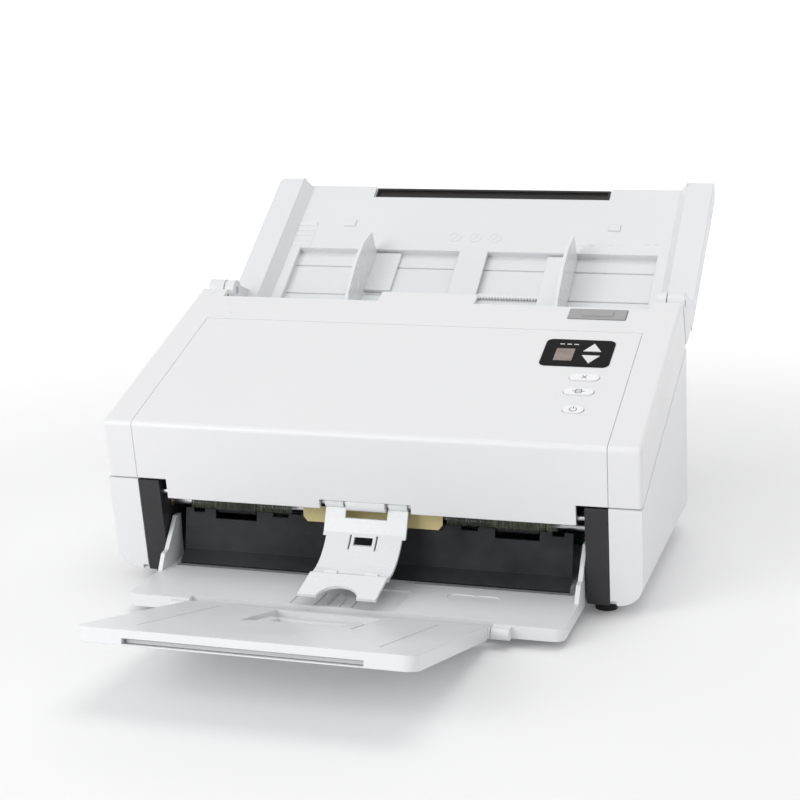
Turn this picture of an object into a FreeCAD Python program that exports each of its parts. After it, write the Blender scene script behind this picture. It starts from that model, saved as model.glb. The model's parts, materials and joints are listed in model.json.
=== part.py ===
import FreeCAD, Part
import math
import os

# Sheet fed document scanner, open for use. Millimetres, +Z up, front faces -Y.
# Working coordinates: y = 0 at the front top edge of the body, z = 0 on the desk.
# Every solid is shifted once, at export, so that the origin is the centre of the footprint.

Vector = FreeCAD.Vector

# ---- driving dimensions: body ----
bodyWidth = 316.0
feetHeight = 7.0
frontHeight = 93.7
frontLean = 9.6
topRun = 157.0
topSlope = 19.24
seamHeight = 58.2
seamSlope = 18.5
rearLean = 20.3
rearFootRun = 23.8
wall = 2.5
seamGap = 0.8
panelInset = 18.6
frameSeam = 40.3
pillarWidth = 13.2
bottomRound = 14.0
partGap = 0.4
runningGap = 0.05
fitPlay = 0.2

# ---- paper path and rollers ----
pathGap = 0.8
sheetThickness = 2.0
exitRollerY = 28.5
exitRollerZ = 47.6
exitRollerRadius = 6.0
transportRadius = 6.0
pinchRadius = 5.0
feedRadius = 9.0
separationRadius = 8.0
shaftRadius = 2.5
rollerLift = 0.3
axleRadius = 1.5
wheelLength = 24.0
wheelPlay = 3.0
feedWheelInner = 4.0
feedWheelOuter = 22.0
sidePlateThickness = 2.5
sideGap = 0.8
scanDepth = 16.0
scanHeight = 14.0
pulleyRadius = 6.0
pulleyWidth = 4.0
beltThickness = 1.0
beltGap = 0.1

# ---- cover hinge and exit guide ----
hingeBack = 4.6
hingeDrop = 7.7
hingeShaftRadius = 1.6
knuckleWall = 1.4
notchHalfWidth = 27.2
notchHeight = 5.4
panelDrop = 11.0
guideHalfWidth = 24.5
guideThickness = 1.6
bossHalf = 11.6
bossRadius = 4.6
flapWidth = 22.5

# ---- output tray ----
trayTop = 12.5
trayThickness = 7.4
traySideGap = 1.0
trayFrontY = -44.0
trayTravel = 50.0
earThickness = 5.7
extensionLength = 143.0
extensionThickness = 7.6
extensionTilt = 13.5
extensionHingeY = -47.5
barrelRadius = 3.2
pinRadius = 1.25
sliderThickness = 1.8
sliderTravel = 70.0

# ---- input tray ----
traySlope = 34.7
trayLength = 165.4
mouthDrop = 9.0
mouthBack = 4.2
pivotForward = 4.8
pivotBelowTop = 3.6
foldAngle = 162.0
hubRadius = 7.0
trayPinRadius = 2.5
railTop = 9.0
railWidth = 17.8
plateThickness = 2.0
pocketInner = 10.0
pocketNear = 18.0
pocketFar = 98.0
pocketDepth = 4.8
guideSpacing = 70.0
guideHeight = 24.0
guideBlade = 2.4
rackModule = 0.64
pinionTeeth = 22
rackCentre = 48.0
rackBacklash = 0.3
guideFoot = 18.0
guideTravelIn = 34.0
guideTravelOut = 38.0
gripDepth = 11.0
gripTravel = 60.0

# ---- controls ----
buttonProud = 0.6
buttonGap = 0.25
buttonTravel = 0.8
latchTravel = 2.2
bezelThickness = 1.2
bezelRound = 4.0

# ---- derived places of the body outline, as (y, z) pairs ----
halfWidth = bodyWidth / 2
panelLine = halfWidth - panelInset
pillarInner = panelLine - pillarWidth
sidePlateInner = pillarInner + sideGap
sidePlateOuter = sidePlateInner + sidePlateThickness
trayHalfWidth = pillarInner - traySideGap
pathHalfWidth = trayHalfWidth - 8.2
scanWidth = 2 * (pathHalfWidth - 3.0)
upperSide = pillarInner - 5.2
panelDropHalfWidth = upperSide + partGap
wheelOuter = pathHalfWidth - 20.0
wheelInner = wheelOuter - wheelLength
knuckleRadius = hingeShaftRadius + knuckleWall
railOuter = halfWidth - 0.5
railInner = railOuter - railWidth
pocketOuter = railInner - 12.7
earInner = halfWidth - 18.0
earOuter = halfWidth - 11.6
armInner = halfWidth - 11.0
extensionHalfWidth = trayHalfWidth - 39.7
sliderHalfWidth = extensionHalfWidth - 25.5
gripHalfWidth = halfWidth - 72.5
pinionRadius = rackModule * pinionTeeth / 2
rackLow = -pocketDepth + partGap
rackHigh = -plateThickness - partGap


def polar(start, angle, length):
    radians = math.radians(angle)
    return (start[0] + length * math.cos(radians), start[1] + length * math.sin(radians))


frontTop = (0.0, feetHeight + frontHeight)
leanRun = math.tan(math.radians(frontLean))
frontFoot = (frontHeight * leanRun, feetHeight)
frontSeam = ((frontHeight - seamHeight) * leanRun, feetHeight + seamHeight)
rearTop = (topRun, frontTop[1] + topRun * math.tan(math.radians(topSlope)))
seamLength = (topRun + rearLean - frontSeam[0]) / math.cos(math.radians(seamSlope))
rearSeam = polar(frontSeam, seamSlope, seamLength)
rearFoot = (rearSeam[0] + rearFootRun, feetHeight)
hinge = (frontSeam[0] + hingeBack + 1.5, frontSeam[1] - hingeDrop)
trayRoot = (rearSeam[0] + mouthBack, rearSeam[1] - mouthDrop)
trayPivot = (rearSeam[0] - pivotForward, rearTop[1] - pivotBelowTop)
originY = (trayFrontY - extensionLength + trayRoot[0] + trayLength * math.cos(math.radians(traySlope))) / 2
shift = Vector(0, -originY, 0)


# ---- small solid helpers ----
def box(x0, x1, y0, y1, z0, z1):
    return Part.makeBox(x1 - x0, y1 - y0, z1 - z0, Vector(x0, y0, z0))


def rodX(x0, x1, y, z, radius):
    return Part.makeCylinder(radius, x1 - x0, Vector(x0, y, z), Vector(1, 0, 0))


def rodZ(x, y, z0, z1, radius):
    return Part.makeCylinder(radius, z1 - z0, Vector(x, y, z0), Vector(0, 0, 1))


def tubeX(x0, x1, y, z, outer, inner):
    return rodX(x0, x1, y, z, outer).cut(rodX(x0 - 1, x1 + 1, y, z, inner))


def prismX(points, x0, x1):
    corners = [Vector(x0, y, z) for y, z in points]
    face = Part.Face(Part.makePolygon(corners + corners[:1]))
    return face.extrude(Vector(x1 - x0, 0, 0))


def joined(solids):
    result = solids[0]
    for solid in solids[1:]:
        result = result.fuse(solid)
    return result.removeSplitter()


def without(solid, cutters):
    for cutter in cutters:
        solid = solid.cut(cutter)
    return solid


def mirrored(solid):
    return solid.mirror(Vector(0, 0, 0), Vector(1, 0, 0))


def placed(solid, origin, angle):
    copy = solid.copy()
    copy.rotate(Vector(0, 0, 0), Vector(1, 0, 0), angle)
    copy.translate(Vector(0, origin[0], origin[1]))
    return copy


def placePoint(point, origin, angle):
    radians = math.radians(angle)
    along, up = point
    y = origin[0] + along * math.cos(radians) - up * math.sin(radians)
    z = origin[1] + along * math.sin(radians) + up * math.cos(radians)
    return (y, z)


def edgesWhere(solid, test):
    found = []
    for edge in solid.Edges:
        bounds = edge.BoundBox
        if test(bounds):
            found.append(edge)
    return found


def rounded(solid, radius, test):
    edges = edgesWhere(solid, test)
    return solid.makeFillet(radius, edges)


def verticalEdge(bounds):
    return bounds.XLength < 0.01 and bounds.YLength < 0.01


def band(points, thickness, x0, x1):
    # A sheet of constant thickness that follows an open outline, thick to the left of the direction of travel.
    offset = []
    for index, point in enumerate(points):
        before = points[max(index - 1, 0)]
        after = points[min(index + 1, len(points) - 1)]
        first = math.atan2(point[1] - before[1], point[0] - before[0])
        last = math.atan2(after[1] - point[1], after[0] - point[0])
        if index == 0:
            first = last
        if index == len(points) - 1:
            last = first
        middle = (first + last) / 2
        reach = thickness / math.cos((last - first) / 2)
        offset.append((point[0] - reach * math.sin(middle), point[1] + reach * math.cos(middle)))
    return prismX(points + offset[::-1], x0, x1)


def insetOutline(points, distance):
    # Parallel inset of a convex clockwise outline.
    lines = []
    count = len(points)
    for index in range(count):
        a = points[index]
        b = points[(index + 1) % count]
        angle = math.atan2(b[1] - a[1], b[0] - a[0])
        shiftY = distance * math.sin(angle)
        shiftZ = -distance * math.cos(angle)
        lines.append(((a[0] + shiftY, a[1] + shiftZ), angle))
    result = []
    for index in range(count):
        (p, a) = lines[index - 1]
        (q, b) = lines[index]
        cross = math.cos(a) * math.sin(b) - math.sin(a) * math.cos(b)
        along = ((q[0] - p[0]) * math.sin(b) - (q[1] - p[1]) * math.cos(b)) / cross
        result.append((p[0] + along * math.cos(a), p[1] + along * math.sin(a)))
    return result


nodes = {}


def keep(name, solid):
    nodes[name] = solid


# ---- frames that follow the slopes ----
rollerSink = 0.1
pathOrigin = placePoint((0, exitRollerRadius + rollerSink), (exitRollerY, exitRollerZ), seamSlope)


def pathMeetsTray():
    # Distance along the paper path at which it reaches the plane of the input tray.
    trayRise = math.tan(math.radians(traySlope))
    height = trayRoot[1] + (pathOrigin[0] - trayRoot[0]) * trayRise - pathOrigin[1]
    closing = trayRise * math.cos(math.radians(seamSlope)) - math.sin(math.radians(seamSlope))
    return -height / closing


bendAlong = pathMeetsTray() - 0.9
transportFirst = 34.0
transportSecond = bendAlong - 32.0
feedAlong = bendAlong - 9.0
lowerScanAlong = transportFirst + 18.0
upperScanAlong = transportSecond - 30.0


def onPath(solid):
    return placed(solid, pathOrigin, seamSlope)


def pathPoint(along, up):
    return placePoint((along, up), pathOrigin, seamSlope)


def onTop(solid):
    return placed(solid, frontTop, topSlope)


def onTray(solid):
    return placed(solid, trayRoot, traySlope)


def trayPoint(along, up):
    return placePoint((along, up), trayRoot, traySlope)


# ---- lower body ----
def lowerOutline():
    return [frontFoot, frontSeam, rearSeam, rearFoot]


def lowerCavity():
    # The inside of the lower body: walls drawn in by one wall, open above the seam.
    foot, seamFront, seamRear, back = insetOutline(lowerOutline(), wall)
    frontTurn = math.degrees(math.atan2(seamFront[1] - foot[1], seamFront[0] - foot[0]))
    rearTurn = math.degrees(math.atan2(seamRear[1] - back[1], seamRear[0] - back[0]))
    return [foot, polar(seamFront, frontTurn, 40), polar(seamRear, rearTurn, 40), back]


def roundLowSides(solid, radius, low):
    def lowSide(bounds):
        return bounds.ZMax < low + 0.1 and bounds.YLength > bodyWidth / 4 and bounds.XLength < 0.1
    return rounded(solid, radius, lowSide)


trayRearY = frontFoot[0] - 5.0
railBack = trayRearY + 30.0
trayBayBack = railBack + trayTravel + 3.0
panHalfWidth = halfWidth - 15.4
footInset = 8.0
baySide = trayHalfWidth + 1.4
roofBottom = trayTop + 0.8
roofTop = roofBottom + 2.0
socketZ = 30.0
jackX = 60.0
usbX = 88.0
jackRadius = 3.0
jackHalf = 5.0
socketGap = 0.4
usbHalf = (4.6, 4.1)
usbOuter = (6.0, 5.5)
ventCount = 9
ventPitch = 9.0
ventHalf = 1.4


def makeLowerCasing():
    outer = prismX(lowerOutline(), -halfWidth, halfWidth)
    outer = roundLowSides(outer, bottomRound, feetHeight)
    inner = prismX(lowerCavity(), -halfWidth + wall, halfWidth - wall)
    inner = roundLowSides(inner, bottomRound - wall, feetHeight + wall)
    shell = outer.cut(inner)
    frontOpening = box(-panelLine, panelLine, -20, frontFoot[0] + 12, 0, rearTop[1])
    pan = panHalfWidth + partGap
    floorOpening = box(-pan, pan, -20, rearFoot[0] - wall - 4, 0, feetHeight + wall)
    feedOpening = box(-armInner, armInner, rearSeam[0] - 20, rearFoot[0] + 5, rearSeam[1] - 16.5, rearTop[1])
    back = (rearFoot[0] - 20, rearFoot[0] + 5)
    jack = jackHalf + socketGap
    jackHole = box(jackX - jack, jackX + jack, back[0], back[1], socketZ - jack, socketZ + jack)
    usb = (usbOuter[0] + socketGap, usbOuter[1] + socketGap)
    usbHole = box(usbX - usb[0], usbX + usb[0], back[0], back[1], socketZ - usb[1], socketZ + usb[1])
    shell = without(shell, [frontOpening, floorOpening, feedOpening, jackHole, usbHole])
    vents = []
    for index in range(ventCount):
        x = -70 + index * ventPitch
        vents.append(box(x - ventHalf, x + ventHalf, rearSeam[0] - 5, back[1], 60, 84))
    shell = without(shell, vents)
    ears = []
    for side in (1, -1):
        outline = [(rearSeam[0] + 2.0, rearSeam[1] - 30), (rearSeam[0] + 2.0, rearSeam[1] - 2)]
        outline.append((trayPivot[0] - hubRadius + 1.6, trayPivot[1] - 3.0))
        outline.append((trayPivot[0] + hubRadius - 0.3, trayPivot[1]))
        outline.append((rearSeam[0] + 8.0, rearSeam[1] - 5.0))
        outline.append((rearSeam[0] + 5.0, rearSeam[1] - 30))
        low, high = sorted((side * earInner, side * earOuter))
        ear = prismX(outline, low, high).fuse(rodX(low, high, trayPivot[0], trayPivot[1], hubRadius - 0.3))
        ear = ear.cut(rodX(low - 1, high + 1, trayPivot[0], trayPivot[1], trayPinRadius))
        ears.append(ear)
    return joined([shell] + ears)


def makeBasePan():
    floor = box(-panHalfWidth, panHalfWidth, frontFoot[0] + 3, rearFoot[0] - wall - 6, feetHeight, feetHeight + wall)
    bay = box(-baySide, baySide, frontFoot[0] - 10, trayBayBack, feetHeight - 1, feetHeight + wall + 1)
    roof = box(-pathHalfWidth, pathHalfWidth, plateBend[0] - 2.0, trayBayBack + wall, roofBottom, roofTop)
    riser = box(-baySide, baySide, trayBayBack, trayBayBack + wall, feetHeight, roofTop)
    return joined([floor.cut(bay), roof, riser])


def makeFeet():
    feet = []
    for x in (-panHalfWidth + footInset, panHalfWidth - footInset):
        for y in (frontFoot[0] + 16, rearFoot[0] - 28):
            foot = Part.makeCone(6.2, 7.2, feetHeight, Vector(x, y, 0), Vector(0, 0, 1))
            feet.append(foot)
    return Part.makeCompound(feet)


def makePillar():
    top = frontSeam[1] - 0.3
    front = [frontFoot, (frontFoot[0] - (top - feetHeight) * leanRun, top)]
    back = exitRollerY - pulleyRadius - 1.5
    outline = front + [(back, top), (back, feetHeight)]
    pillar = prismX(outline, pillarInner, panelLine - partGap)
    hole = rodX(0, panelLine - 2, hinge[0], hinge[1], hingeShaftRadius)
    foot = box(0, halfWidth, frontFoot[0] + 2.6, frontFoot[0] + 30, 0, feetHeight + wall + 0.2)
    return without(pillar, [hole, foot])


plateBottomY = frontFoot[0] - 3.6
plateBottomZ = trayTop + 1.8
plateBend = (frontFoot[0] + 4.2, trayTop + 8.0)
plateTopPoint = (exitRollerY - 5.0, exitRollerZ - 3.0)
exitPlateThickness = 1.8
bristleLength = 8.0


def makeExitPlate():
    line = [(plateBottomY, plateBottomZ), plateBend, plateTopPoint]
    sheet = band(line, -exitPlateThickness, -pathHalfWidth, pathHalfWidth)
    cutters = []
    for side in (1, -1):
        for near, far, low in ((wheelInner - 1, wheelOuter + 1, 5.6), (wheelOuter + 8, wheelOuter + 15, 2.4), (52, 62, 2.4)):
            a, b = sorted((side * near, side * far))
            cutters.append(box(a, b, 0, 60, plateTopPoint[1] - low, plateTopPoint[1] + 10))
    cutters.append(box(-40, 40, 0, 60, plateTopPoint[1] - 3.0, plateTopPoint[1] + 10))
    ribs = []
    for x in (-100, -65, -30, 30, 65, 100):
        outline = [(plateBottomY + 4, roofTop), (plateBend[0] + 1, plateBend[1] - 0.5)]
        outline += [(plateTopPoint[0] + 0.6, plateTopPoint[1] - 9), (plateTopPoint[0] + 3, plateTopPoint[1] - 9)]
        outline += [(plateBend[0] + 12, roofTop)]
        ribs.append(prismX(outline, x - 1, x + 1))
    return without(joined([sheet] + ribs), cutters)


def makeBrush():
    root = (plateTopPoint[0] - 3.2, plateTopPoint[1] - 2.0)
    holder = []
    tip = root[1] + bristleLength
    outline = [root, (root[0] + 1.6, root[1]), (root[0] + 1.0, tip), (root[0] + 0.2, tip)]
    reach = pathHalfWidth - 4.0
    for low, high in ((-reach, -44), (44, reach)):
        holder.append(prismX(outline, low, high))
    return Part.makeCompound(holder)


def makeFilm():
    y = plateTopPoint[0] - 2.6
    low, high = plateTopPoint[1] - 2.6, plateTopPoint[1] + 7.0
    corners = []
    for x, z in ((-42, high), (42, high), (42, low + 3), (39.5, low), (-39.5, low), (-42, low + 3)):
        corners.append(Vector(x, y, z))
    return Part.Face(Part.makePolygon(corners + corners[:1])).extrude(Vector(0, 0.6, 0))


def shaftHoles(radius):
    holes = []
    for along, up in lowerShafts():
        y, z = pathPoint(along, up)
        holes.append(rodX(-halfWidth, halfWidth, y, z, radius))
    return holes


def lowerShafts():
    return [
        (0.0, -exitRollerRadius - rollerSink),
        (transportFirst, -transportRadius - rollerSink),
        (transportSecond, -transportRadius - rollerSink),
        (feedAlong, -feedRadius - rollerSink),
    ]


bushRadius = shaftRadius + 1.6


def makeLowerChassis():
    plate = onPath(box(-sidePlateInner, sidePlateInner, 7.5, bendAlong, -pathGap - sheetThickness, -pathGap))
    ramp = onTray(box(-sidePlateInner, sidePlateInner, -36.0, -1.2, -pathGap - sheetThickness, -pathGap))
    joinLow = -pathGap - sheetThickness - 2.0
    rampJoin = onPath(box(-sidePlateInner, sidePlateInner, bendAlong - 1.5, bendAlong + 3.4, joinLow, -pathGap - 0.4))
    sides = []
    for side in (1, -1):
        top = [pathPoint(2, 12), pathPoint(bendAlong + 4, 12), trayPoint(-14, -pathGap)]
        floor = feetHeight + wall
        low = [trayPoint(-20, -22), (pathPoint(bendAlong, 0)[0], floor), (exitRollerY + 3, floor)]
        low.append((exitRollerY - 6, exitRollerZ))
        a, b = sorted((side * sidePlateInner, side * sidePlateOuter))
        sides.append(prismX(top + low, a, b))
    solid = joined([plate, ramp, rampJoin] + sides)
    cutters = []
    slot = transportRadius + 2.0
    for side in (1, -1):
        a, b = sorted((side * (wheelInner - wheelPlay), side * (wheelOuter + wheelPlay)))
        for along in (transportFirst, transportSecond):
            cutters.append(onPath(box(a, b, along - slot, along + slot, -5, 1)))
    feedSlot = feedRadius + 3.0
    feedSide = feedWheelOuter + 4.0
    cutters.append(onPath(box(-feedSide, feedSide, feedAlong - feedSlot, feedAlong + feedSlot, -6, 2)))
    cutters.append(onTray(box(-feedSide, feedSide, -40, -22, -6, 2)))
    half = scanWidth / 2 + partGap
    scanEnd = lowerScanAlong + scanDepth + partGap
    cutters.append(onPath(box(-half, half, lowerScanAlong - partGap, scanEnd, -5, 1)))
    cutters += shaftHoles(bushRadius)
    return without(solid, cutters)


scanEndWall = 4.0
scanSideWall = 3.0
glassThickness = 1.8


def scanModule(along, side):
    half = scanWidth / 2
    face = pathGap + partGap
    low, high = sorted((side * face, side * (face + scanHeight)))
    case = box(-half, half, along, along + scanDepth, low, high)
    low, high = sorted((side * (face - 1.0), side * (face + 3.0)))
    inner = half - scanEndWall
    groove = box(-inner, inner, along + scanSideWall, along + scanDepth - scanSideWall, low, high)
    return onPath(case.cut(groove))


def scanGlass(along, side):
    half = scanWidth / 2 - scanEndWall - fitPlay
    face = pathGap + partGap
    low, high = sorted((side * face, side * (face + glassThickness)))
    inset = scanSideWall + fitPlay
    return onPath(box(-half, half, along + inset, along + scanDepth - inset, low, high))


def wheels(along, up, radius, near, far, bore):
    y, z = pathPoint(along, up)
    parts = []
    for side in (1, -1):
        a, b = sorted((side * near, side * far))
        parts.append(tubeX(a, b, y, z, radius, bore))
    return Part.makeCompound(parts)


def drivenWheels(along, name):
    # Transport shaft, pulley and two rubber wheels moulded on as one piece.
    up = -transportRadius - rollerSink
    rollers = wheels(along, up, transportRadius, wheelInner, wheelOuter, shaftRadius - wheelBite)
    keep(name, joined([drivenShaft(along, up)] + rollers.Solids))


def idleWheels(along, radius, near, far, name):
    # Spring side roller on its own thin axle, carried by the cover.
    up = radius + rollerLift
    y, z = pathPoint(along, up)
    rollers = wheels(along, up, radius, near, far, axleRadius - 0.1)
    reach = upperSide + axleRadius
    keep(name, joined([rodX(-reach, reach, y, z, axleRadius)] + rollers.Solids))


pulleyInner = sidePlateOuter + 1.0
shaftLeft = pulleyInner + pulleyWidth + 1.0
shaftRight = sidePlateOuter + 1.0
wheelBite = 0.5


def drivenShaft(along, up):
    # Steel shaft with the belt pulley and its flange on the left end.
    y, z = pathPoint(along, up)
    shaft = rodX(-shaftLeft, shaftRight, y, z, shaftRadius)
    outer = -pulleyInner - pulleyWidth
    drum = rodX(outer, -pulleyInner, y, z, pulleyRadius)
    flange = rodX(outer, outer + 0.6, y, z, pulleyRadius + 0.9)
    return joined([shaft, drum, flange])


def makeBelt():
    # Flat belt around the convex set of pulleys, with a small gap so that each pulley is free to turn.
    inner = pulleyRadius + beltGap
    exitCentre, frontCentre, rearCentre, feedCentre = [pathPoint(along, up) for along, up in lowerShafts()]
    loops = []
    for radius in (inner + beltThickness, inner):
        hull = convexLoop([exitCentre, motorCentre(), feedCentre, rearCentre], radius)
        loops.append(Part.Face(Part.Wire(hull)))
    ring = loops[0].cut(loops[1])
    belt = ring.extrude(Vector(pulleyWidth - 1.4, 0, 0))
    belt.translate(Vector(-pulleyInner - pulleyWidth + 1.0, 0, 0))
    return belt


def convexLoop(centres, radius):
    # Outline around equal circles, centres listed anticlockwise in (y, z).
    edges = []
    count = len(centres)
    normals = []
    for index in range(count):
        a = centres[index]
        b = centres[(index + 1) % count]
        direction = math.degrees(math.atan2(b[1] - a[1], b[0] - a[0]))
        normals.append(direction - 90)
    for index in range(count):
        a = centres[index]
        b = centres[(index + 1) % count]
        start = polar(a, normals[index], radius)
        end = polar(b, normals[index], radius)
        edges.append(Part.makeLine(Vector(0, start[0], start[1]), Vector(0, end[0], end[1])))
        turn = (normals[(index + 1) % count] - normals[index]) % 360
        middle = polar(b, normals[index] + turn / 2, radius)
        finish = polar(b, normals[(index + 1) % count], radius)
        arc = Part.Arc(Vector(0, end[0], end[1]), Vector(0, middle[0], middle[1]), Vector(0, finish[0], finish[1]))
        edges.append(arc.toShape())
    return Part.__sortEdges__(edges)


motorBelowPath = 52.0
motorRadius = 17.0
motorLength = 34.0


def motorCentre():
    return pathPoint(feedAlong - 12, -motorBelowPath)


def makeMotor():
    y, z = motorCentre()
    face = -sidePlateInner + fitPlay
    body = rodX(face, face + motorLength, y, z, motorRadius)
    flange = box(face, face + 1.5, y - motorRadius - 5, y + motorRadius + 5, z - 12, z + 12)
    return joined([body, flange])


def makeMotorPulley():
    y, z = motorCentre()
    shaft = rodX(-shaftLeft, -sidePlateInner + 10, y, z, shaftRadius)
    inner = -pulleyInner
    return shaft.fuse(tubeX(inner - pulleyWidth, inner, y, z, pulleyRadius, shaftRadius - wheelBite))


def motorHole():
    y, z = motorCentre()
    return rodX(-halfWidth, -sidePlateInner + 60, y, z, shaftRadius + 0.3)


def makeBushes():
    bushes = []
    for along, up in lowerShafts():
        y, z = pathPoint(along, up)
        for side in (1, -1):
            a, b = sorted((side * sidePlateInner, side * sidePlateOuter))
            bushes.append(tubeX(a, b, y, z, bushRadius, shaftRadius + runningGap))
    return Part.makeCompound(bushes)


boardLift = 4.0
boardThickness = 1.6
chipHeight = 1.8


def makeMainBoard():
    floor = feetHeight + wall
    low = floor + boardLift
    high = low + boardThickness
    front = trayBayBack + 12.0
    plate = box(-20, 110, front, rearFoot[0] - 16, low, high)
    chips = []
    for x, y, size in ((10, 24, 12), (45, 44, 9), (75, 19, 7), (30, 59, 5)):
        chips.append(box(x, x + size, front + y, front + y + size, high, high + chipHeight))
    posts = [rodZ(x, y, floor, low + 0.2, 2.4) for x in (-16, 106) for y in (front + 6, rearFoot[0] - 21)]
    return joined([plate] + chips + posts)


def rearWallY(z):
    share = (z - rearFoot[1]) / (rearSeam[1] - rearFoot[1])
    return rearFoot[0] + (rearSeam[0] - rearFoot[0]) * share


def makePowerJack():
    back = rearWallY(socketZ) - 1.0
    body = box(jackX - jackHalf, jackX + jackHalf, back - 14, back, socketZ - jackHalf, socketZ + jackHalf)
    hole = Part.makeCylinder(jackRadius, 11, Vector(jackX, back + 1, socketZ), Vector(0, -1, 0))
    return body.cut(hole)


def makeUsbSocket():
    back = rearWallY(socketZ) - 1.0
    wide, high = usbOuter
    body = box(usbX - wide, usbX + wide, back - 16, back, socketZ - high, socketZ + high)
    wide, high = usbHalf
    hole = box(usbX - wide, usbX + wide, back - 11, back + 1, socketZ - high, socketZ + high)
    return body.cut(hole)


def makeTrayPins():
    pins = []
    for side in (1, -1):
        a, b = sorted((side * (earInner + 0.4), side * (railOuter - 1.5)))
        pins.append(rodX(a, b, trayPivot[0], trayPivot[1], trayPinRadius))
    return Part.makeCompound(pins)


def makeHingeShaft():
    return rodX(-panelLine + 2.2, panelLine - 2.2, hinge[0], hinge[1], hingeShaftRadius)


screwHeadHeight = 1.4
screwHeadRadius = 3.0


def makeScrews():
    screws = []
    low = feetHeight - screwHeadHeight
    slotTop = low + screwHeadHeight / 2
    for x in (-pathHalfWidth - 1, pathHalfWidth + 1):
        for y in (trayBayBack + 16, rearFoot[0] - 15):
            head = rodZ(x, y, low, feetHeight, screwHeadRadius)
            slot = box(x - 0.4, x + 0.4, y - 2.4, y + 2.4, low - 1, slotTop)
            cross = box(x - 2.4, x + 2.4, y - 0.4, y + 0.4, low - 1, slotTop)
            screws.append(without(head, [slot, cross]))
    return Part.makeCompound(screws)


# ---- cover ----
def coverOutline(setBack):
    # Side outline of the cover; the rear top edge can be set back along the slope.
    front = polar(frontSeam, 90 + frontLean, seamGap / math.cos(math.radians(frontLean + seamSlope)))
    rear = (rearSeam[0] - seamGap * 0.6, rearSeam[1] + seamGap)
    return [front, frontTop, polar(rearTop, topSlope + 180, setBack), rear]


def coverShell(x0, x1, openOuter, setBack):
    outline = coverOutline(setBack)
    outer = prismX(outline, x0, x1)
    rearEdge = outline[2]

    def frontTopEdge(bounds):
        return abs(bounds.YMax - frontTop[0]) < 0.1 and abs(bounds.ZMax - frontTop[1]) < 0.1 and bounds.XLength > 1

    def rearTopEdge(bounds):
        return abs(bounds.YMax - rearEdge[0]) < 0.1 and abs(bounds.ZMax - rearEdge[1]) < 0.1 and bounds.XLength > 1
    outer = rounded(outer, coverFrontRound, frontTopEdge)
    outer = rounded(outer, coverRearRound, rearTopEdge)
    inner = insetOutline(outline, wall)
    below = [(inner[0][0] + 2, inner[0][1] - 40)] + inner + [(inner[3][0], inner[3][1] - 40)]
    high = x1 + 1 if openOuter else x1 - wall
    return outer.cut(prismX(below, x0 - 1, high))


topLength = topRun / math.cos(math.radians(topSlope))
latchX0, latchX1 = panelLine - 47.9, panelLine - 12.9
latchS0, latchS1 = topLength - 25.3, topLength - 13.3
latchThickness = 2.4
bezelX0, bezelX1 = panelLine - 54.8, panelLine - 13.6
bezelS0, bezelS1 = 84.0, 115.0
displayX0, displayX1 = bezelX0 + 7.4, bezelX0 + 18.4
displayS0, displayS1 = bezelS0 + 6.3, bezelS0 + 20.8
buttonX = panelLine - 25.4
ovals = {
    "cancel_button": (buttonX + 0.2, 72.0, 17.5, 7.0),
    "scan_button": (buttonX - 0.3, 56.2, 17.5, 7.0),
    "power_button": (buttonX + 0.1, 37.0, 12.0, 7.4),
}
arrows = {"up_button": (buttonX - 0.4, 106.0, 1), "down_button": (buttonX - 0.4, 92.2, -1)}
arrowHalf = 5.3
arrowHeight = 9.0
capDepth = 2.6
stemDepth = 6.6
controlBoardTop = -8.0
coverFrontRound = 3.5
coverRearRound = 2.5
springRadius = 2.8
springWire = 0.35
springLength = 7.2
springSeatTop = -22.6
latchPostLow = -14.0


def ovalPlate(x, s, width, height, low, high, grow):
    radius = height / 2 + grow
    half = width / 2 - height / 2
    middle = box(x - half, x + half, s - radius, s + radius, low, high)
    return joined([middle, rodZ(x - half, s, low, high, radius), rodZ(x + half, s, low, high, radius)])


def arrowPlate(x, s, direction, low, high, grow):
    reach = arrowHalf + grow * 1.9
    tip = s + direction * (arrowHeight / 2 + grow * 1.8)
    base = s - direction * (arrowHeight / 2 + grow)
    corners = [Vector(x - reach, base, low), Vector(x + reach, base, low), Vector(x, tip, low)]
    face = Part.Face(Part.makePolygon(corners + corners[:1]))
    return face.extrude(Vector(0, 0, high - low))


lipSetBack = 9.5
panelGap = 0.1
seamS = topLength - frameSeam


def coverPanel(x, low, high):
    # The middle of the cover between two distances along its top face, open on both sides.
    shell = coverShell(-x, x, True, lipSetBack)
    return shell.common(onTop(box(-halfWidth, halfWidth, low, high, -topRun, topRun)))


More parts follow.
